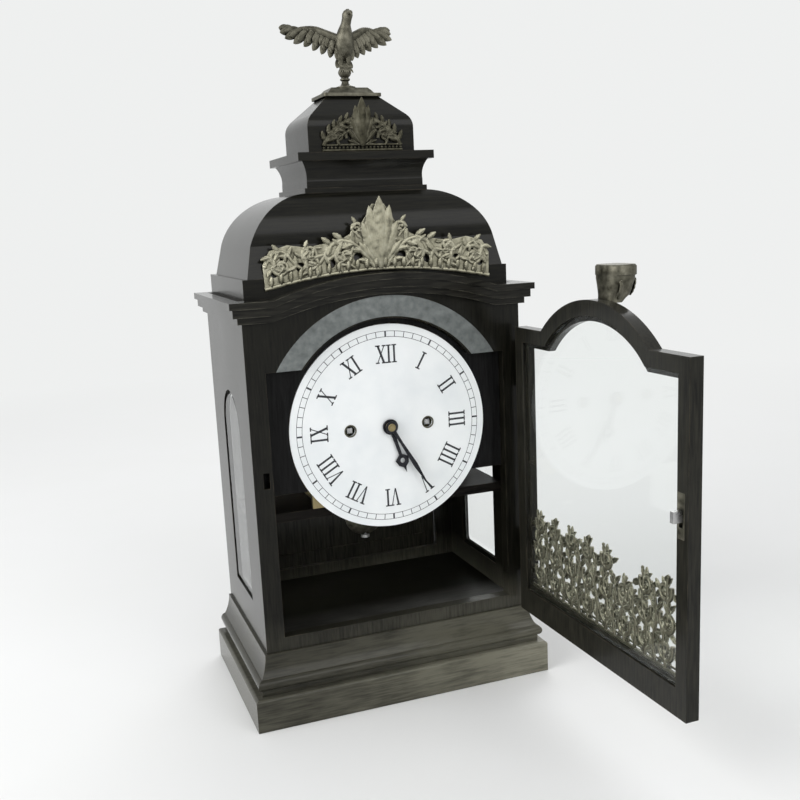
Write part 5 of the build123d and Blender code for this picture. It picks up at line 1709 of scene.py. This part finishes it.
    def rims(self, finishes: Finishes) -> None:
        """Brass rims of the two winding holes.

        Args:
            finishes: the clock's finishes.
        """
        parts = []
        for x in (-self.winding_half, self.winding_half):
            rim = Stock.turned(
                [(3.15, -0.3), (4.0, -0.3), (4.0, 0.25), (3.8, 0.45), (3.4, 0.45), (3.15, 0.25)],
                32, hollow=True,
            )
            rim.transform(
                Matrix.Translation(Vector((x, self.face, self.centre)) * MM)
                @ Matrix.Rotation(math.radians(90), 4, "X")
            )
            parts.append(rim)
        piece = Stock.join("winding_rims", parts)
        finishes.dress(piece, "dark_brass")
        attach(piece, "case")
        log.info("winding rims: %d faces", len(piece.data.polygons))

    def hand(
        self, loops: list[list[Point]], back: float, turn: float, hub: float
    ) -> bpy.types.Mesh:
        """One hand as a plate with rounded edges.

        Args:
            loops: its outline pointing up from the centre, and its piercings.
            back: where its back lies along Y.
            turn: how far it is turned clockwise, in degrees.
            hub: radius of the hole at its hub.

        Returns:
            The mesh.
        """
        hole = oval((0.0, 0.0), hub, hub, 24)
        placed = [[self.turned(place, turn) for place in loop] for loop in loops + [hole]]
        mesh = Stock.plate(placed, self.hand_thick, 0.25)
        mesh.transform(Matrix.Translation(Vector((0, back - self.hand_thick / 2, 0)) * MM))
        return mesh

    def hands(self, finishes: Finishes) -> None:
        """Hour hand with a pierced spade, and slender minute hand.

        Args:
            finishes: the clock's finishes.
        """

        def round_hub(radius: float, half: float) -> list[Point]:
            """Hub outline that opens upward by a half width, clockwise from its right side.

            Args:
                radius: radius of the hub.
                half: half the width of the opening.

            Returns:
                The outline's places.
            """
            start = math.asin(half / radius)
            return [
                (radius * math.sin(a), radius * math.cos(a))
                for a in [start + (2 * math.pi - 2 * start) * s / 28 for s in range(29)]
            ]

        hour = [(-1.1, 12.0), (-1.0, 19.5), (-4.6, 22.4), (-3.4, 26.2), (-0.9, 28.2), (0.0, 32.0)]
        hour = round_hub(5.0, 1.4) + hour + [(-x, z) for x, z in hour[-2::-1]]
        eye = oval((0.0, 23.6), 1.5, 1.7, 16)
        minute = [(-0.9, 12.0), (-1.5, 30.0), (-0.8, 38.0), (0.0, 50.0)]
        minute = round_hub(3.9, 1.1) + minute + [(-x, z) for x, z in minute[-2::-1]]
        for name, body, node, loops, back, turn, hub in (
            (
                "hour_blade", "hour_hand", "hour_hand", [hour, eye],
                self.hour_back, self.hour_turn, self.hour_hub,
            ),
            (
                "minute_blade", "minute_hand", "minute_hand", [minute],
                self.minute_back, self.minute_turn, self.minute_hub,
            ),
        ):
            piece = Stock.join(name, [self.hand(loops, back, turn, hub)])
            finishes.dress(piece, "hand_black")
            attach(piece, body)
            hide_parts(node)
        log.info("hands: hour and minute")

    def build(self, finishes: Finishes) -> None:
        """Dresses the dial and adds its print, rims and hands.

        Args:
            finishes: the clock's finishes.
        """
        finishes.dress_solids(((("dial",), "white_enamel"),))
        self.print_face(finishes)
        self.rims(finishes)
        self.hands(finishes)


@dataclass
class Movement:
    """Two-train movement, bell and pendulum, which keep their shapes."""

    brass: tuple[str, ...] = (
        "front_plate", "back_plate", "pillars", "suspension_cock", "bell_stand", "centre_wheel",
        "third_wheel", "escape_wheel", "pin_wheel", "fly", "cannon_pinion", "minute_wheel",
        "hour_wheel",
    )
    # Painted shade: the barrels and the bob get the darker brass because they sit in the case's
    # shadow.
    darker: tuple[str, ...] = ("going_barrel", "strike_barrel", "pendulum_bob")
    steel: tuple[str, ...] = ("going_arbor", "strike_arbor", "pallets", "pendulum_rod", "hammer")

    def dress(self, finishes: Finishes) -> None:
        """Puts brass, steel and bell metal on the movement.

        Args:
            finishes: the clock's finishes.
        """
        finishes.dress_solids(
            (
                (self.brass, "movement_brass"),
                (self.darker, "dark_brass"),
                (self.steel, "bright_steel"),
                (("bell",), "bell_metal"),
            )
        )
        log.info("movement: brass, steel and bell")


@dataclass
class BackDoor:
    """Back door with its turn button."""

    wood: tuple[str, ...] = ("back_door", "back_door_panel")
    metal: tuple[str, ...] = ("back_door_pins", "back_turn_button")

    def dress(self, finishes: Finishes) -> None:
        """Puts the finishes on the back door."""
        finishes.dress_solids(((self.wood, "door_ebony"), (self.metal, "dark_brass")))
        log.info("back door: frame, panel, pins and turn button")


@dataclass
class Studio:
    """Floor, soft lamps, pale surround and the camera.

    Places are in metres and turns in degrees. The camera's focal length and the place that it
    points at are in pixels of its square frame.
    """

    eye: Triple = (-0.2045, -0.6298, 0.3081)
    yaw: float = 20.46
    pitch: float = 11.41
    roll: float = -2.60
    focal_pixels: float = 995.8
    middle_pixel: Point = (408.0, 420.0)
    frame_pixels: float = 800.0
    sensor: float = 36.0
    floor_reach: float = 4.0
    floor_drop: float = 0.0002
    sky: Colour = (0.95, 0.97, 1.0)
    sky_strength: float = 0.55
    aim: Triple = (0.0, 0.0, 0.2)
    lamps: tuple[tuple[str, Triple, Point, float], ...] = (
        ("window_lamp", (-1.5, -0.3, 1.0), (1.4, 1.4), 26.0),
        ("front_lamp", (0.5, -1.9, 1.3), (1.6, 1.2), 16.0),
        ("back_lamp", (0.8, 1.5, 1.4), (1.4, 1.0), 12.0),
    )

    def floor(self, finishes: Finishes) -> None:
        """Wide round floor under the clock, which melts into the surround far away.

        Args:
            finishes: the clock's finishes.
        """
        work = bmesh.new()
        bmesh.ops.create_circle(work, cap_ends=True, segments=64, radius=self.floor_reach)
        piece = Stock.piece("floor", Stock.close(work, "floor"))
        piece.location.z = -self.floor_drop
        finishes.dress(piece, "studio_floor")

    def lamp(self, name: str, place: Triple, size: Point, watts: float) -> None:
        """Soft rectangular lamp that points at the clock's middle.

        Args:
            name: name of the lamp.
            place: where it stands, in metres.
            size: its width and height in metres.
            watts: its strength.
        """
        data = bpy.data.lights.new(name, "AREA")
        data.shape = "RECTANGLE"
        data.size, data.size_y = size
        data.energy = watts
        made = bpy.data.objects.new(name, data)
        made.location = place
        towards = Vector(self.aim) - Vector(place)
        made.rotation_euler = towards.to_track_quat("-Z", "Y").to_euler()
        bpy.context.scene.collection.objects.link(made)

    def surround(self) -> None:
        """Pale surround that shows white to the camera, in gloss and through glass."""
        world = bpy.data.worlds.new("surround")
        world.use_nodes = True
        tree = world.node_tree
        tree.nodes.clear()
        rays = tree.nodes.new("ShaderNodeLightPath")
        seen = rays.outputs["Is Camera Ray"]
        for kind in ("Is Glossy Ray", "Is Transmission Ray"):
            either = tree.nodes.new("ShaderNodeMath")
            either.operation = "MAXIMUM"
            tree.links.new(seen, either.inputs[0])
            tree.links.new(rays.outputs[kind], either.inputs[1])
            seen = either.outputs[0]
        light = tree.nodes.new("ShaderNodeBackground")
        light.inputs[0].default_value = (*self.sky, 1.0)
        light.inputs[1].default_value = self.sky_strength
        white = tree.nodes.new("ShaderNodeBackground")
        white.inputs[0].default_value = (*FloorFinish.backdrop, 1.0)
        white.inputs[1].default_value = 1.0
        mix = tree.nodes.new("ShaderNodeMixShader")
        output = tree.nodes.new("ShaderNodeOutputWorld")
        tree.links.new(seen, mix.inputs[0])
        tree.links.new(light.outputs[0], mix.inputs[1])
        tree.links.new(white.outputs[0], mix.inputs[2])
        tree.links.new(mix.outputs[0], output.inputs[0])
        bpy.context.scene.world = world

    def camera(self) -> None:
        """Camera at the photograph's viewing angle."""
        yaw, pitch, roll = (math.radians(v) for v in (self.yaw, self.pitch, self.roll))
        ahead = Vector(
            (math.sin(yaw) * math.cos(pitch), math.cos(yaw) * math.cos(pitch), -math.sin(pitch))
        )
        level = Vector((math.cos(yaw), -math.sin(yaw), 0.0))
        above = level.cross(ahead)
        right = level * math.cos(roll) + above * math.sin(roll)
        up = above * math.cos(roll) - level * math.sin(roll)
        data = bpy.data.cameras.new("camera")
        data.sensor_width = self.sensor
        data.lens = self.sensor * self.focal_pixels / self.frame_pixels
        data.shift_x = 0.5 - self.middle_pixel[0] / self.frame_pixels
        data.shift_y = self.middle_pixel[1] / self.frame_pixels - 0.5
        data.clip_start = 0.01
        made = bpy.data.objects.new("camera", data)
        made.matrix_world = Matrix.Translation(self.eye) @ Matrix(
            (right, up, -ahead)
        ).transposed().to_4x4()
        bpy.context.scene.collection.objects.link(made)
        bpy.context.scene.camera = made

    def build(self, finishes: Finishes) -> None:
        """Sets up the whole studio.

        Args:
            finishes: the clock's finishes.
        """
        self.floor(finishes)
        for name, place, size, watts in self.lamps:
            self.lamp(name, place, size, watts)
        self.surround()
        self.camera()
        bpy.context.scene.view_settings.view_transform = "Standard"
        log.info("studio: floor, lamps, surround and camera")


def main() -> None:
    """Builds and dresses the clock, then writes how large it has become."""
    logging.basicConfig(level=logging.INFO, format="%(message)s")
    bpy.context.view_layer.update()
    finishes = Finishes()
    case = Case()
    case.dress(finishes)
    case.side_panes(finishes)
    Eagle().build(finishes)
    top = TopMounts()
    top.crest(finishes)
    top.mount(finishes)
    door = FrontDoor()
    door.dress(finishes)
    door.fret(finishes)
    door.cresting(finishes)
    Dial().build(finishes)
    Movement().dress(finishes)
    BackDoor().dress(finishes)
    Studio().build(finishes)


if __name__ == "__main__":
    main()
